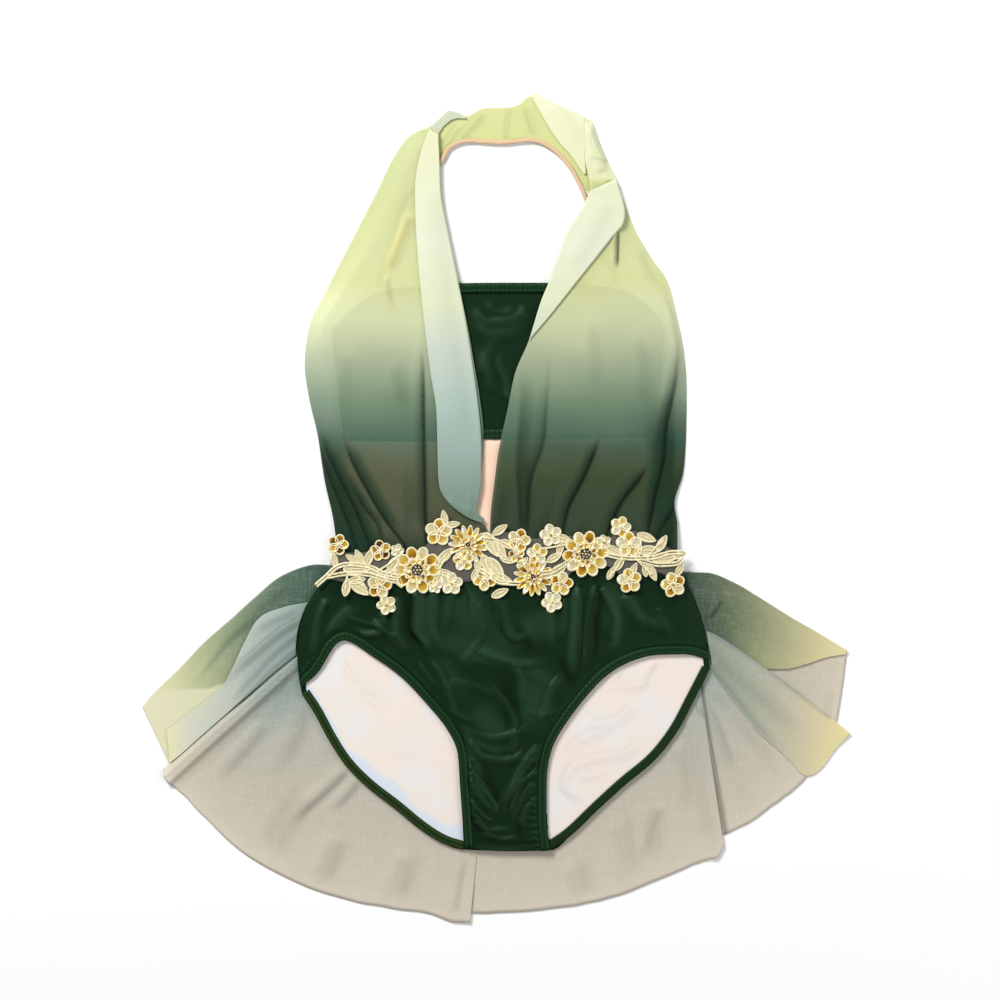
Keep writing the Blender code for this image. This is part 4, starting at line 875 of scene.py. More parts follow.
def green_lycra(name, base, light, roughness, thread=None):
    """Nylon elastane knit: shiny filament yarn in fine wales, so it has a soft satin sheen. The wales are 0.35 mm
    apart on the real cloth, drawn at 0.9 mm. A casing has two rows of stitches along it."""
    material, tree, shader = new_material(name, roughness, specular=0.34)
    shader.inputs["Specular Tint"].default_value = linear("#8FBE97")
    place = place_of(tree)
    # painted highlights where the tint mark lies above nought, and painted shade in hollows where it lies below
    lit = tinted(tree, linear(base), mark_of(tree, "tint", 0.0, 1.0, 0.8), linear(light))
    deep = tinted(tree, lit, mark_of(tree, "tint", 0.0, -1.0, 1.0), linear(LYCRA_SHADE))
    # painted highlight on raised cloth, then painted shade along the creases' lines
    crest_highlight = tinted(tree, deep, mark_of(tree, "gather", 0.1, 1.3, 0.85), linear(light))
    shaded = tinted(tree, crest_highlight, mark_of(tree, "line", 0.0, 1.0, 0.9), linear(LYCRA_SHADE))
    wales = waves(tree, place, "X", 0.36, Distortion=0.6, Detail=1.0)
    height = maths(tree, "MULTIPLY_ADD", mottled(tree, place, 7.0), 3.0, wales)
    if thread:
        cut = split(tree, cut_of(tree))
        dash = maths(tree, "SINE", maths(tree, "MULTIPLY", cut["X"], 600.0))
        in_row = maths(tree, "COMPARE", maths(tree, "PINGPONG", cut["Y"], 0.5), 0.22, 0.07)
        stitch = maths(tree, "MULTIPLY", in_row, maths(tree, "GREATER_THAN", dash, -0.2))
        shaded = tinted(tree, shaded, maths(tree, "MULTIPLY", stitch, 0.6), linear(thread))
        height = maths(tree, "MULTIPLY_ADD", stitch, 2.0, height)
    clothe(tree, shader, shaded, height, 0.18)
    return material


def brushed_tricot(name, tones, shadow, cool_shade):
    """Matt nylon tricot lining: a fine brushed knit that scatters light evenly and picks up faint tints."""
    material, tree, shader = new_material(name, 0.85, sheen=0.1, specular=0.15)
    place = place_of(tree)
    colour = ramp_of(tree, mottled(tree, place, 40.0, 1.0), list(zip((0.3, 0.5, 0.7), tones)))
    # painted bluish shade where the tint mark lies, then painted shade along the creases' lines
    cool_shaded = tinted(tree, colour, mark_of(tree, "tint", 0.0, 1.0, 0.9), linear(cool_shade))
    shaded = tinted(tree, cool_shaded, mark_of(tree, "line", 0.0, 1.0, 0.6), linear(shadow))
    clothe(tree, shader, shaded, mottled(tree, place, 0.9, 3.0), 0.2, 0.0002)
    return material


def ribbed_elastic(name, tone, groove_shade, pitch):
    """Knitted elastic: round ribs across the tape, drawn at a pitch that is a share of its length."""
    material, tree, shader = new_material(name, 0.6, sheen=0.1, specular=0.3)
    along = add_node(tree, "ShaderNodeMapping", Vector=cut_of(tree), Scale=(1.0 / pitch, 1.0, 1.0))
    ribs = waves(tree, along.outputs["Vector"], "X", 1.0, Distortion=0.4)
    # painted shade in the grooves between the ribs
    recoloured = tinted(tree, linear(tone), ribs, linear(groove_shade))
    clothe(tree, shader, tinted(tree, recoloured, mottled(tree, place_of(tree), 3.0), linear(tone)), ribs, 0.5, 0.0004)
    return material


def rayon(name, roughness, sheen, stops, scale, strength, distortion=0.0, patch=None):
    """Glossy rayon thread in diagonal lines. Its colour varies in patches of a size, or else from line to line."""
    material, tree, shader = new_material(name, roughness, sheen=sheen)
    place = place_of(tree)
    lines = waves(tree, place, "DIAGONAL", scale, Distortion=distortion)
    share = mottled(tree, place, patch) if patch else lines
    clothe(tree, shader, ramp_of(tree, share, stops), lines, strength)
    return material


def toned(name, roughness, metallic, stops, interpolation="EASE"):
    """A shiny material whose colour is read from the tone that each copy of a shape has."""
    material, tree, shader = new_material(name, roughness, metallic=metallic)
    tone = add_node(tree, "ShaderNodeAttribute", {"attribute_name": "tone"})
    tree.links.new(ramp_of(tree, tone.outputs["Fac"], stops, interpolation), shader.inputs["Base Color"])
    return material


# Prints, from one end of the cloth to the other
DRAPE_PRINT = [
    (0.0, "#263C21"), (0.154, "#2F4524"), (0.215, "#384B25"), (0.259, "#485C3D"), (0.303, "#4D6F59"),
    (0.346, "#68826A"), (0.39, "#7F997A"), (0.433, "#9EB190"), (0.477, "#B8C3A1"), (0.521, "#D1D9B0"),
    (0.564, "#E0E7B8"), (0.608, "#E3E8B3"), (0.65, "#DADF9F"), (0.695, "#D8DDA1"), (0.826, "#D3D99C"),
    (1.0, "#D2D89E"),
]
FACING_PRINT = [
    (0.0, "#62806F"), (0.10, "#7C9085"), (0.20, "#95A9A0"), (0.32, "#AABDB2"), (0.44, "#C1CBBE"), (0.56, "#D7DDBB"),
    (0.70, "#DCDFC6"), (1.0, "#DCDFB6"),
]
NECK_SPREAD = (270.0, 350.0)
mesh_drape = printed_mesh(
    "printed power mesh, bodice", DRAPE_PRINT, "Y", 0.54, (-60.0, 330.0), fold_tone="#152F1F", fold_share=0.7,
    rib=0.09, doubled=0.42,
)
mesh_facing = printed_mesh(
    "printed power mesh, turned edge", FACING_PRINT, "Y", 0.88, (-20.0, 330.0), rib=0.09, fold_tone="#8FA79C",
    fold_share=0.1, crease_shade_tone="#5F7A6E",
)
mesh_neck = printed_mesh(
    "printed power mesh, neck", [(0.0, "#CBD38C"), (0.5, "#D2D794"), (1.0, "#D6D99C")], "Y", 0.80, NECK_SPREAD,
    fold_tone="#8FA05A", fold_share=0.4, crease_shade_tone="#7E8F45", tint="#C8C898",
)
mesh_flap = printed_mesh(
    "printed power mesh, neck flap", [(0.0, "#D9DDB0"), (1.0, "#E4E6C4")], "Y", 0.88, NECK_SPREAD,
    fold_tone="#C2CAA0", fold_share=0.2, crease_shade_tone="#98A574",
)
mesh_tuck = printed_mesh(
    "printed power mesh, neck tuck", [(0.0, "#BCC6A8"), (1.0, "#C6CDB4")], "Y", 0.88, NECK_SPREAD)
mesh_skirt_wrong = printed_mesh(
    "printed power mesh, skirt wrong side",
    [(0.0, "#7E8F86"), (0.3, "#96A299"), (0.5, "#B0B0A4"), (0.65, "#B8B4A4"), (0.78, "#C0B9A8"), (0.88, "#C7BDAC"),
     (0.95, "#CBC1AF"), (1.0, "#D2C8B7")], "V", 0.90,
    rib=0.05, fold_tone="#8B8A78", fold_share=0.3, crease_shade_tone="#5D5C4E", linen=0.10,
)
mesh_skirt_right = printed_mesh(
    "printed power mesh, skirt right side",
    [(0.0, "#27463A"), (0.2, "#466050"), (0.42, "#74856A"), (0.62, "#A3AB84"), (0.85, "#DAD6A8"), (1.0, "#E2DDB2")],
    "U", 0.92, rib=0.04, fold_tone="#3A5A48", fold_share=0.25, crease_shade_tone="#2A4437", tint="#DAD8B8", linen=0.06,
)
mesh_skirt_front_right = printed_mesh(
    "printed power mesh, skirt right side, at the right",
    [(0.0, "#33493D"), (0.14, "#4C5C48"), (0.34, "#7C8462"), (0.6, "#A6A77E"), (0.85, "#D0C694"), (1.0, "#DDD3A0")],
    "U", 0.92, rib=0.04, fold_tone="#4A6250", fold_share=0.25, crease_shade_tone="#2A4437", linen=0.06,
)
mesh_turned_left = printed_mesh(
    "printed power mesh, turned back at the left",
    [(0.0, "#82968F"), (0.3, "#A7B3AC"), (0.6, "#BEC3B4"), (0.82, "#D0D1BC"), (0.93, "#D9D9B4"), (1.0, "#DFDDAA")],
    "U", 0.92, rib=0.04, fold_tone="#6F8079", fold_share=0.35, crease_shade_tone="#4A554D", linen=0.06,
)
mesh_turned_right = printed_mesh(
    "printed power mesh, turned back at the right",
    [(0.0, "#85907F"), (0.3, "#A0A594"), (0.6, "#BDB89F"), (0.85, "#D9CC9E"), (1.0, "#E5D99C")],
    "U", 0.92, rib=0.04, fold_tone="#858A78", fold_share=0.35, crease_shade_tone="#5E7078", linen=0.08,
)
lycra = green_lycra("nylon elastane lycra, dark green", "#0B2010", "#24402A", 0.46)
casing = green_lycra("nylon elastane casing, dark green", "#0E2612", "#1A381F", 0.45, "#2C4C2F")
plain_casing = green_lycra("nylon elastane casing, wrong side", "#15270F", "#20381A", 0.5)
back_casing = green_lycra("nylon elastane casing, olive stitches", "#15290F", "#20381A", 0.45, "#515A28")
lining = brushed_tricot(
    "nylon tricot lining, off white", ("#DFDCDA", "#E3D9D0", "#E7D8CD"), "#A8978C", "#CBD6E2")
body_lining = brushed_tricot(
    "nylon tricot body lining, nude", ("#EBC6AE", "#EFCDB7", "#F3D4BF"), "#C79F86", "#EFCDB7")
nude_elastic = ribbed_elastic("knitted elastic, nude", "#DBBD98", "#C09C75", 0.011)
belt_net, _, net_shader = new_material("nylon tulle, grey", 0.8, alpha=0.4, specular=0.15)
net_shader.inputs["Base Color"].default_value = linear("#77736A")
# Metallised plastic cups, their tone running from cream to dark amber: partly each flower's own colour, partly painted
# reflections, bright glints and amber shade, that vary from petal to petal and from each cup's inner end to its rim
sequin_gold = toned(
    "metallised cup sequins, gold", 0.22, 0.6,
    [(0.0, "#F6EFD0"), (0.2, "#F4E09A"), (0.38, "#EEC545"), (0.6, "#CC931D"), (0.82, "#7E4E12"), (1.0, "#3E230B")],
    "LINEAR",
)
# Embroidery cord with a fine twist
cream_cord = rayon(
    "rayon cord, cream", 0.45, 0.2, [(0.3, "#D3C592"), (0.5, "#E9DFB6"), (0.7, "#F5EECF")], 0.5, 0.4, patch=2.2)
# Satin stitch: threads side by side, 0.4 mm on the real belt and drawn 0.9 mm apart
cream_satin_stitch = rayon(
    "rayon satin stitch, cream", 0.5, 0.25, [(0.0, "#B0A070"), (0.5, "#D2C698"), (1.0, "#E6DCB4")], 0.35, 0.5, 1.5)
# Small glass beads lined with gold
glass_bead = toned("lined glass beads", 0.12, 0.2, [(0.0, "#F6EFD8"), (0.5, "#CDB98A"), (1.0, "#7B6A45")])


def on_brief(x, y, s, t):
    """The folds of the brief's front, clear of its casings and pressed flat by the belt, with gathers at the legs."""
    edges = [through(edge_of(BRIEF_FRONT, leg), np.linspace(0, 1, 60)) for leg in (FRONT_LEFT_LEG, FRONT_RIGHT_LEG)]
    nearest = np.min([np.min(np.hypot(x[:, None] - e[:, 0], y[:, None] - e[:, 1]), axis=1) for e in edges], axis=0)
    height, dark = crease_relief(BRIEF_CREASES, x, y, BRIEF_FOLD_WIDTHS, BRIEF_LINE_WIDTH)
    clear = ease((nearest - LEG_BAND) / 5.0)
    under_belt = 0.15 + 0.85 * ease((BELT_EDGE_Y - y) / 14.0)
    gathers = sum(puckers(e, x, y) for e in edges)
    # The cloth lies flatter where the right leg's edge is steepest
    flatter = 1 - 0.85 * ease(1.7 - np.hypot(x - STEEP_EDGE[0], y - STEEP_EDGE[1]) / 10.0)
    folds = np.minimum(BRIEF_FOLD_GAIN * height * clear * under_belt, BRIEF_FOLD_LIMIT)
    return (folds + gathers) * flatter, dark * clear * flatter


def streak(x, y, centre, way, width, length):
    """A pale streak along a direction, faded at its edges."""
    ox, oy = x - centre[0], y - centre[1]
    across = (ox * way[1] - oy * way[0]) / width
    along = (ox * way[0] + oy * way[1]) / length
    return 0.8 * np.exp(-(across**2) ** 1.5) * np.exp(-(along**2) ** 2)


def lights_of_brief(x, y, s, t):
    """The painted broad soft highlights, and painted shade in the hollows, between the creases of the brief's front.
    """
    return sum(p.strength * streak(x, y, (p.x, p.y), (p.way_x, p.way_y), p.width, p.length) for p in BRIEF_LIGHTS)


def under_net(y):
    """The share of a drape's creases that is kept, less where the belt presses on them."""
    return 0.12 + 0.88 * ease((y + 26.0) / 24.0)


def on_left_drape(x, y, s, t):
    """The left drape's creases, which stop short of its facing."""
    height, dark = crease_relief(DRAPE_LEFT_CREASES, x, y)
    beside_facing = 0.1 + 0.9 * ease((-50.0 - x) / 8.0)
    return height * under_net(y) * beside_facing * ease(t / 0.03), dark * ease((-46.0 - x) / 6.0)


def on_right_drape(x, y, s, t):
    """The right drape's creases, flat under its facing."""
    height, dark = crease_relief(DRAPE_RIGHT_CREASES, x, y)
    under_facing = 1 - 0.95 * ease((y - 134.0) / 10.0) * ease((78.0 - x) / 8.0)
    return height * under_net(y) * under_facing * ease(t / 0.03), dark * under_facing


def tints_of_left_drape(x, y, s, t):
    """Pale yellow streaks above the bandeau, and cloth that lies double at the side, which is darker."""
    pale = streak(x, y, (-83, 224), (0.37, 0.93), 5.0, 26.0) + streak(x, y, (-91, 182), (-0.28, 0.96), 1.6, 16.0)
    spreading = 0.5 * np.clip(30.0 - y, 0, 60)
    side = ease((spreading - 120.0 - x) / 20.0) * ease((84.0 - y) / 62.0)
    return pale - 0.85 * side - 0.45 * ease((-14.0 - y) / 24.0)


def tints_of_right_drape(x, y, s, t):
    """Cloth that lies double at the side and near the waist, which is darker."""
    side = ease((x - 116.0) / 24.0) * ease((112.0 - y) / 62.0) * (1 - 0.4 * ease((x - 148.0) / 6.0))
    over_bandeau = 0.1 * ease((196.0 - y) / 30.0)
    return -np.maximum(side, over_bandeau + 0.25 * ease((66.0 - y) / 16.0) + 0.25 * ease((-14.0 - y) / 24.0))


def single_layer(x, y, s, t):
    """Where the skirt's left front is a single layer, paler, below the line of its folded hem."""
    line = np.interp(x, (-277, -244, -231), (-154, -153, -148))
    return ease((line - y + 1.0) / 3.0) * ease((-226.0 - x) / 6.0)


def on_lining(x, y, s, t):
    """The lining's creases, a little higher than listed, with their painted shade lines darker than listed."""
    height, dark = crease_relief(LINING_CREASES, x, y)
    return 1.3 * height, 1.7 * dark


def creased(creases):
    """A relief of these creases alone."""
    return lambda x, y, s, t: crease_relief(creases, x, y)


def faded(creases, keep):
    """Creases that die out where keep(s, t) falls to nought."""
    def relief(x, y, s, t):
        height, dark = crease_relief(creases, x, y)
        return height * keep(s, t), dark * keep(s, t)
    return relief


def on_bandeau(x, y, s, t):
    """The bandeau's creases, between the drapes and between its casings."""
    left_drape, right_drape = -15 - 0.16 * (y - 82), 9 + 0.3 * (y - 82)
    between = ease((x - left_drape + 3) / 6) * ease((right_drape - x + 3) / 6)
    height, dark = crease_relief(BANDEAU_CREASES, x, y)
    return height * ease((y - 68) / 6) * ease((181 - y) / 5) * between, dark


def rounded(height, ribs=0.0):
    """A casing or tape, rounder in its middle, with its gathers."""
    return lambda x, y, s, t: (
        height * np.sqrt(np.clip(1 - (2 * t - 1) ** 2, 0, 1)) + ribs * np.cos(x * 1.9), np.zeros_like(x))


def beside_back_leg(x, y, s, t):
    """The strip of lining along the back's left leg that turns up, where a bluish shade is painted, with a wavy edge.
    """
    edge = 0.935 - 0.012 * np.sin(s * 30.0) - 0.008 * np.sin(s * 71.0)
    return ease((t - edge) / 0.018) * ease((0.52 - s) / 0.06)


def lay_skirt():
    """The skirt, from the back forwards."""
    floor, side = "floor", "skirt_side_right_mesh"
    pieces = (
        ("back_left", "mesh_wrong_side", SKIRT_BACK_LEFT, 190, 90, mesh_skirt_wrong, (0.30, 0.29), "laid", floor,
         0.0565, {"relief": faded(BACK_LEFT_CREASES, lambda s, t: ease((s - 0.3) / 0.05)), "frill": 0.3}),
        ("back_right", "mesh_wrong_side", SKIRT_BACK_RIGHT, 120, 80, mesh_skirt_wrong, (0.22, 0.30), "laid", floor,
         0.051, {"relief": creased(BACK_RIGHT_CREASES), "frill": 0.2}),
        ("side_right", "mesh_wrong_side", SKIRT_SIDE_RIGHT, 90, 60, mesh_skirt_wrong, (0.19, 0.19), "laid", floor,
         0.0182, {"relief": creased(SIDE_RIGHT_CREASES), "frill": 0.2}),
        ("front_left", "mesh_right_side", SKIRT_FRONT_LEFT, 120, 64, mesh_skirt_right, (0.215, 0.08), "folded", floor,
         0.0111, {"relief": faded(FRONT_LEFT_CREASES, lambda s, t: ease((0.4 - t) / 0.15)), "tint": single_layer}),
        ("turn_left", "mesh_turned", SKIRT_TURN_LEFT, 110, 50, mesh_turned_left, (0.165, 0.05), "folded",
         "skirt_front_left_mesh", 0.0046, {"relief": creased(TURN_LEFT_CREASES)}),
        ("front_right", "mesh_right_side", SKIRT_FRONT_RIGHT, 110, 50, mesh_skirt_front_right, (0.155, 0.06),
         "folded", side, 0.0057, {"relief": faded(FRONT_RIGHT_CREASES, lambda s, t: ease((0.85 - t) / 0.25))}),
        ("turn_right", "mesh_turned", SKIRT_TURN_RIGHT, 110, 60, mesh_turned_right, (0.155, 0.065), "folded", side,
         0.0062, {"relief": creased(TURN_RIGHT_CREASES)}),
    )
    for part, slot_name, rows, along, across, material, flat, held, on, area, looks in pieces:
        lay_piece(
            f"skirt_{part}_mesh", slot_name, f"skirt_{part}", rows, along, across, MESH_WALL, material, flat, held,
            [on], area, **looks)


def within_hips(x):
    return min(max(x, HIP_LEFT), HIP_RIGHT)


def lay_brief():
    lay_piece(
        "brief_back_lycra", "green_lycra", "brief_back", brief_rows(BRIEF_BACK, WAIST_Y - 1, SECOND, SECOND, SECOND),
        90, 20, LYCRA_WALL, lycra, (0.35, 0.245), "laid", ["skirt_back_left_mesh", "skirt_back_right_mesh"], 0.066)
    lay_piece(
        "brief_lining_tricot", "white_lining", "brief_lining",
        brief_rows(LINING_CUT, WAIST_Y - 1, LINING_Z, LINING_Z, LINING_Z), 125, 96, LINING_WALL, lining,
        (0.345, 0.24), "laid", ["brief_back_lycra"], 0.064, relief=on_lining, tint=beside_back_leg)
    lay_piece(
        "brief_front_lycra", "green_lycra", "brief_front",
        brief_rows(BRIEF_FRONT, WAIST_Y - 0.4, FIFTH, FOURTH, THIRD, 0.45), 195, 195, LYCRA_WALL, lycra,
        (0.36, 0.25), "gathered", ["brief_lining_tricot"], 0.045, relief=on_brief, tint=lights_of_brief)
    bands = (
        # side, columns, those at the leg, inset, height, how much lower at its start and end, material, flat length
        ("back_left", BRIEF_BACK, BACK_LEFT_LEG, 0.0, THIRD, 0.0, 0.0, back_casing, 0.21),
        ("back_right", BRIEF_BACK, BACK_RIGHT_LEG, 0.0, THIRD, 0.0, 0.0, plain_casing, 0.22),
        ("front_left", BRIEF_FRONT, FRONT_LEFT_LEG, 0.3, 5.3, 1.4, 0.0, casing, 0.30),
        ("front_right", BRIEF_FRONT, FRONT_RIGHT_LEG, 0.3, 5.3, 0.0, 1.4, casing, 0.28),
    )
    for side, columns, part, inset, z, low_start, low_end, made_of, length in bands:
        rows = band_rows(edge_of(columns, part), inset, LEG_BAND, z, low_start, low_end)
        rows = [r._replace(ax=within_hips(r.ax), bx=within_hips(r.bx)) for r in rows]
        lay_piece(
            f"leg_casing_{side}", "green_casing", f"leg_band_{side}", rows, 90, 6, LYCRA_WALL, made_of,
            (0.01, length), "stretched", [f"brief_{side.split('_')[0]}_lycra"], 0.0075 * length, relief=rounded(0.45))


def lay_bodice():
    lay_piece(
        "bandeau_back_lycra", "green_lycra", "bandeau_back", BANDEAU, 60, 12, LYCRA_WALL, lycra, (0.28, 0.13),
        "laid", ["floor"], 0.034)
    lay_piece(
        "bandeau_front_lycra", "green_lycra", "bandeau_front", BANDEAU, 140, 70, LYCRA_WALL, lycra, (0.28, 0.135),
        "laid", ["bandeau_back_lycra"], 0.034, relief=on_bandeau, lift=SECOND)
    top, bottom = [(r.ax, r.ay) for r in BANDEAU], [(r.bx, r.by) for r in BANDEAU]
    for name, points, inset, length in (("top", top, -BANDEAU_BAND, 0.30), ("bottom", bottom, 0.0, 0.27)):
        lay_piece(
            f"bandeau_{name}_casing", "green_casing", f"bandeau_{name}_band",
            band_rows(points, inset, BANDEAU_BAND, THIRD), 150, 6, LYCRA_WALL, casing, (0.01, length), "stretched",
            ["bandeau_front_lycra"], 0.0085 * length, relief=rounded(0.3, 0.3))
    lay_piece(
        "midriff_back_tricot", "nude_lining", "midriff_back", MIDRIFF, 30, 12, LYCRA_WALL, body_lining,
        (0.275, 0.106), "laid", ["floor"])
    rising = [r._replace(az=SECOND, bz=3.9, rise_from=0.4) for r in MIDRIFF]
    lay_piece(
        "midriff_front_tricot", "nude_lining", "midriff_front", rising, 60, 24, LYCRA_WALL, body_lining,
        (0.275, 0.106), "laid", ["midriff_back_tricot"])


def lay_drapes():
    over = ["bandeau_front_lycra", "midriff_front_tricot"]
    lay_piece(
        "drape_left_mesh", "mesh_drape", "drape_left", DRAPE_LEFT, 230, 110, MESH_WALL, mesh_drape, (0.19, 0.40),
        "gathered", over, 0.048, relief=on_left_drape, tint=tints_of_left_drape)
    lay_piece(
        "drape_right_mesh", "mesh_drape", "drape_right", DRAPE_RIGHT, 225, 115, MESH_WALL, mesh_drape, (0.20, 0.35),
        "gathered", over, 0.048, relief=on_right_drape, tint=tints_of_right_drape)
    pieces = (
        # node, rows, grid, material, creases, slot, flat size, area, what it lies on
        ("facing_left", FACING_LEFT, 130, 20, mesh_facing, FACING_LEFT_CREASES, "mesh_turned", (0.042, 0.35), 0.0106,
         "drape_left_mesh"),
        ("facing_right", FACING_RIGHT, 80, 20, mesh_facing, FACING_RIGHT_CREASES, "mesh_turned", (0.04, 0.15), 0.0040,
         "drape_right_mesh"),
        ("neck_band", NECK_BAND, 110, 30, mesh_neck, NECK_CREASES, "mesh_lime", (0.16, 0.036), 0.0050, "floor"),
        ("neck_tuck", NECK_TUCK, 40, 16, mesh_tuck, (), "mesh_turned", (0.034, 0.010), 0.00019, "neck_band_mesh"),
        ("neck_flap", NECK_FLAP, 60, 40, mesh_flap, FLAP_CREASES, "mesh_turned", (0.075, 0.030), 0.0013,
         "neck_band_mesh"),
        ("shoulder_roll", SHOULDER_ROLL, 60, 40, mesh_flap, ROLL_CREASES, "mesh_lime", (0.055, 0.028), 0.00080,
         "neck_band_mesh"),
    )
    for node, rows, along, across, material, creases, slot_name, flat, area, under in pieces:
        lay_piece(
            f"{node}_mesh", slot_name, node, rows, along, across, MESH_WALL, material, flat, "folded", [under], area,
            relief=creased(creases))
    centre = through(STRAP, np.linspace(0, 1, 90))
    near, far = beside(centre, -STRAP_HALF_WIDTH), beside(centre, STRAP_HALF_WIDTH)
    lay_piece(
        "neck_strap_elastic", "nude_elastic", "neck_strap", [Row(*a, *b) for a, b in zip(near, far)], 240, 5,
        STRAP_WALL, nude_elastic, (0.01, 0.40), "stretched", ["neck_band_mesh"], 0.0019, relief=rounded(0.25))


def shaped(add, insets=(), resize=None, rise=0.0, **sizes):
    """A shape about a unit across, at the origin: inset step by step by (width, depth), drawn out and raised."""
    bpy.ops.object.select_all(action="DESELECT")
    add(**sizes)
    shape = bpy.context.active_object
    bpy.ops.object.mode_set(mode="EDIT")
    bpy.ops.mesh.select_all(action="SELECT")
    for thickness, depth in insets:
        bpy.ops.mesh.inset(thickness=thickness, depth=depth)
    if resize:
        bpy.ops.transform.resize(value=resize)
    if rise:
        bpy.ops.transform.translate(value=(0.0, 0.0, rise))
    bpy.ops.object.mode_set(mode="OBJECT")
    return shape


def leaf_width(x):
    """A leaf's half width as a share of its half length, wider towards its stalk."""
    return 0.42 * (1 - 0.22 * x) * (1 - 0.35 * x**2)


def shape_petal():
    """One cup sequin: a disc inset twice and sunk, so that its rim stands up."""
    disc = shaped(
        bpy.ops.mesh.primitive_circle_add, ((0.26, -0.18), (0.36, -0.08)), vertices=12, radius=1.0, fill_type="NGON")
    return walled(disc, 0.08)


def shape_leaf():
    """One embroidered leaf: a disc drawn out, domed and veined."""
    leaf = shaped(
        bpy.ops.mesh.primitive_circle_add, ((0.16, 0.13), (0.12, -0.05), (0.34, 0.08)), (1.0, 0.22, 1.0), -0.07,
        vertices=20, radius=1.0, fill_type="NGON")
    for vert in leaf.data.vertices:
        vert.co.y *= leaf_width(vert.co.x)
    return walled(leaf, 0.1)


def shape_cord():
    """One ring of cord."""
    return shaped(
        bpy.ops.mesh.primitive_torus_add, rise=0.05, major_radius=1.0, minor_radius=0.15, major_segments=14,
        minor_segments=4)


def shape_leaf_cord():
    """The cord round a leaf: a ring of thin cord drawn out to the leaf's outline."""
    cord = shaped(
        bpy.ops.mesh.primitive_torus_add, resize=(1.0, 1.0, 0.85), major_radius=1.0, minor_radius=0.085,
        major_segments=24, minor_segments=5)
    for vert in cord.data.vertices:
        around = Vector((vert.co.x, vert.co.y)).normalized()
        vert.co.y += around.y * (leaf_width(around.x) - 1)
    return cord


def shape_bead():
    """One glass bead, flattened where its thread pulls it down."""
    return shaped(
        bpy.ops.mesh.primitive_uv_sphere_add, resize=(1.0, 1.0, 0.85), segments=8, ring_count=5, radius=1.0)


Copy = namedtuple("Copy", "x y z length width height turn tone")


def sew_on(name, master, copies, material, shade=0.0):
    """Copies of a shape, each with its own mesh, joined into one piece of the belt. `shade` is how much darker, as
    painted shade, each is at its inner end than in its middle."""
    made = []
    for copy in copies:
        obj = master.copy()
        obj.data = master.data.copy()
        bpy.context.scene.collection.objects.link(obj)
        size = Matrix.Diagonal((copy.length, copy.width, copy.height, 1.0))
        turn = Matrix.Rotation(copy.turn, 4, "Z")
        obj.data.transform(Matrix.Scale(0.001, 4) @ Matrix.Translation((copy.x, copy.y, copy.z)) @ turn @ size)
        tones = [copy.tone - shade * vert.co.x for vert in master.data.vertices]
        tone = obj.data.attributes.new("tone", "FLOAT", "POINT")
        tone.data.foreach_set("value", np.clip(tones, 0, 1).astype(np.float32))
        made.append(obj)
    bpy.ops.object.select_all(action="DESELECT")
    for obj in made:
        obj.select_set(True)
    bpy.context.view_layer.objects.active = made[0]
    bpy.ops.object.join()
    piece = bpy.context.active_object
    piece.name = piece.data.name = name
    piece.data.materials.clear()
    piece.data.materials.append(material)
    bpy.ops.object.shade_smooth_by_angle(angle=math.radians(50))
    piece.select_set(False)
    finish_piece(piece, "gold_applique")


# Rings of petals: how many, then distance, half length and half width as shares of the motif's radius, and lift in
# millimetres. Rings of beads: how many, and distance as a share of the radius
PETAL_RINGS = {
    "flower": ((5, 0.54, 0.48, 0.42, 0.5),),
    "cups": ((10, 0.78, 0.29, 0.235, 0.6), (11, 0.46, 0.17, 0.11, 0.9)),
    "spokes": ((15, 0.70, 0.34, 0.135, 0.5), (12, 0.34, 0.18, 0.08, 1.1)),
}
BEAD_RINGS = {"flower": ((1, 0.0),), "cups": ((1, 0.0), (6, 0.15), (11, 0.28)), "spokes": ((1, 0.0), (6, 0.16))}


def petals_of(motif):
    """Where a motif's petals lie: (distance, angle, half length, half width, lift)."""
    size, turn = motif.size, math.radians(motif.turn)
    return [
        (distance * size, turn + 2 * math.pi * (k + 0.5 * (ring % 2)) / count, long * size, wide * size, lift)
        for ring, (count, distance, long, wide, lift) in enumerate(PETAL_RINGS[motif.kind])
        for k in range(count)
    ]


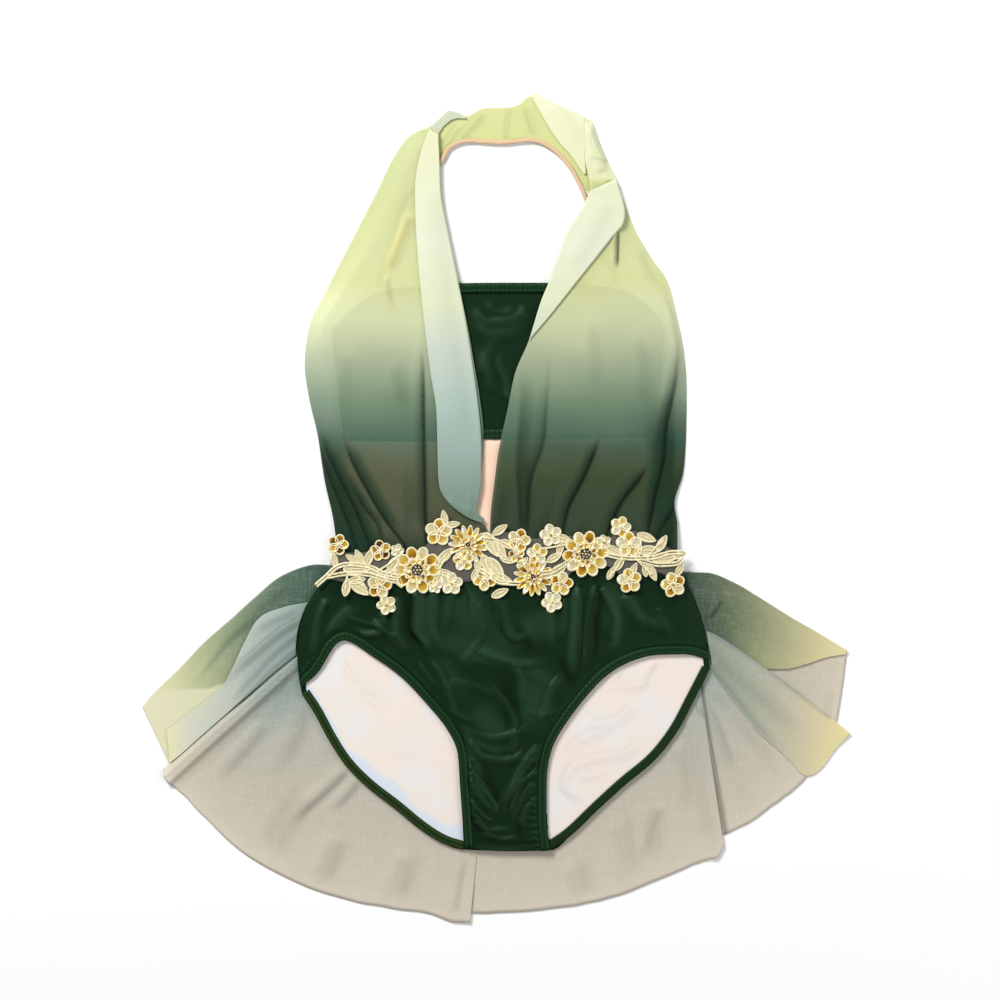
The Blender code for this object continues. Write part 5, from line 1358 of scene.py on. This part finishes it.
def sew_belt():
    """Flowers of cup sequins outlined in cord, embroidered leaves, stems and beads, sewn on a fine net."""
    lay_piece(
        "applique_net", "gold_applique", "applique_belt", NET, 60, 14, NET_WALL, belt_net, (0.315, 0.065), "laid",
        ["drape_left_mesh", "drape_right_mesh", "brief_front_lycra"], 0.0110)
    petal, leaf, cord, bead, outline = shape_petal(), shape_leaf(), shape_cord(), shape_bead(), shape_leaf_cord()
    cups, cords, leaves, outlines, veins, beads = [], [], [], [], [], []
    for number, m in enumerate(MOTIFS):
        # neighbours lie at slightly different heights, so that they don't share a surface
        base = MOTIF_Z + 0.05 * (number % 5)
        if m.kind == "leaf":
            turn = math.radians(m.turn)
            leaves.append(Copy(m.x, m.y, base, m.size, m.size, 5.0, turn, 0.0))
            outlines.append(Copy(m.x, m.y, base + 0.55, m.size, m.size, 8.0, turn, 0.9))
            veins.append(Copy(m.x, m.y, base + 0.75, 0.86 * m.size, 0.45, 0.5, turn, 0.9))
            continue
        for k, (away, angle, long, wide, lift) in enumerate(petals_of(m)):
            # petals of the gold flowers vary in tone one by one, a painted glint or painted shade on each
            tone = min(max(m.tone + 0.28 * math.sin(2.4 * k + number) * (m.tone > 0.2), 0.0), 1.0)
            x, y = m.x + away * math.cos(angle), m.y + away * math.sin(angle)
            cups.append(Copy(x, y, base + lift + 0.5, long * 0.92, wide * 0.92, 2.4, angle, tone))
            cords.append(Copy(x, y, base + lift + 0.3, long, wide, 2.6, angle, 0.5 + 0.5 * math.sin(k)))
        for count, distance in BEAD_RINGS[m.kind]:
            for k in range(count):
                angle = 2 * math.pi * k / count + number
                x, y = m.x + distance * m.size * math.cos(angle), m.y + distance * m.size * math.sin(angle)
                size = 1.15 if distance == 0 else 0.95
                beads.append(Copy(x, y, base + 1.6, size, size, size, angle, 0.5 + 0.4 * math.sin(3 * k + number)))
    for number, path in enumerate(STEMS):
        length = sum(math.dist(a, b) for a, b in zip(path, path[1:]))
        points = through(path, np.linspace(0, 1, int(length / STITCH_PITCH)))
        way = np.gradient(points, axis=0)
        for strand in (-1.2, 1.2) if number in DOUBLE_STEMS else (0.0,):
            for point, step in zip(points, way):
                angle = math.atan2(step[1], step[0])
                x, y = point[0] - strand * math.sin(angle), point[1] + strand * math.cos(angle)
                veins.append(Copy(x, y, MOTIF_Z + 1.0, 1.5, 0.85, 0.9, angle + 0.45, 0.7))
    sew_on("belt_cup_sequins", petal, cups, sequin_gold, 0.24)
    sew_on("belt_cord_outlines", cord, cords, cream_cord)
    sew_on("belt_embroidered_leaves", leaf, leaves, cream_satin_stitch)
    sew_on("belt_leaf_outlines", outline, outlines, cream_cord)
    sew_on("belt_stems_and_veins", bead, veins, cream_cord)
    sew_on("belt_beads", bead, beads, glass_bead)
    for master in (petal, leaf, cord, outline, bead):
        bpy.data.objects.remove(master)


def set_stage():
    """A pale matt surface, soft light from the upper left and a little from the right, and the overhead camera."""
    bpy.ops.mesh.primitive_plane_add(size=14, location=(0, 0, -0.0006))
    floor = bpy.context.active_object
    floor.name = "floor"
    paper, _, shader = new_material("white paper sweep", 0.9, specular=0.1)
    shader.inputs["Base Color"].default_value = (0.92, 0.92, 0.92, 1)
    floor.data.materials.append(paper)
    world = bpy.data.worlds.new("studio")
    world.use_nodes = True
    world.node_tree.nodes["Background"].inputs["Color"].default_value = (1, 1, 1, 1)
    world.node_tree.nodes["Background"].inputs["Strength"].default_value = 0.36
    bpy.context.scene.world = world
    lamps = (
        ("key softbox", (-1.1, 1.5, 1.5), 0.8, 62.0),
        ("fill softbox", (1.6, -0.4, 1.3), 1.4, 16.0),
    )
    for name, place, size, power in lamps:
        light = bpy.data.lights.new(name, "AREA")
        light.size = size
        light.energy = power
        lamp = bpy.data.objects.new(name, light)
        lamp.location = place
        lamp.rotation_euler = (-Vector(place)).to_track_quat("-Z", "Y").to_euler()
        bpy.context.scene.collection.objects.link(lamp)
    camera = bpy.data.cameras.new("overhead camera")
    camera.lens = LENS
    camera.sensor_width = SENSOR
    holder = bpy.data.objects.new("overhead camera", camera)
    holder.location = (0.003, 0.0068, PHOTO_WIDTH * LENS / SENSOR)
    bpy.context.scene.collection.objects.link(holder)
    bpy.context.scene.camera = holder
    bpy.context.scene.view_settings.view_transform = "Standard"


set_stage()
lay_skirt()
lay_brief()
lay_bodice()
lay_drapes()
sew_belt()
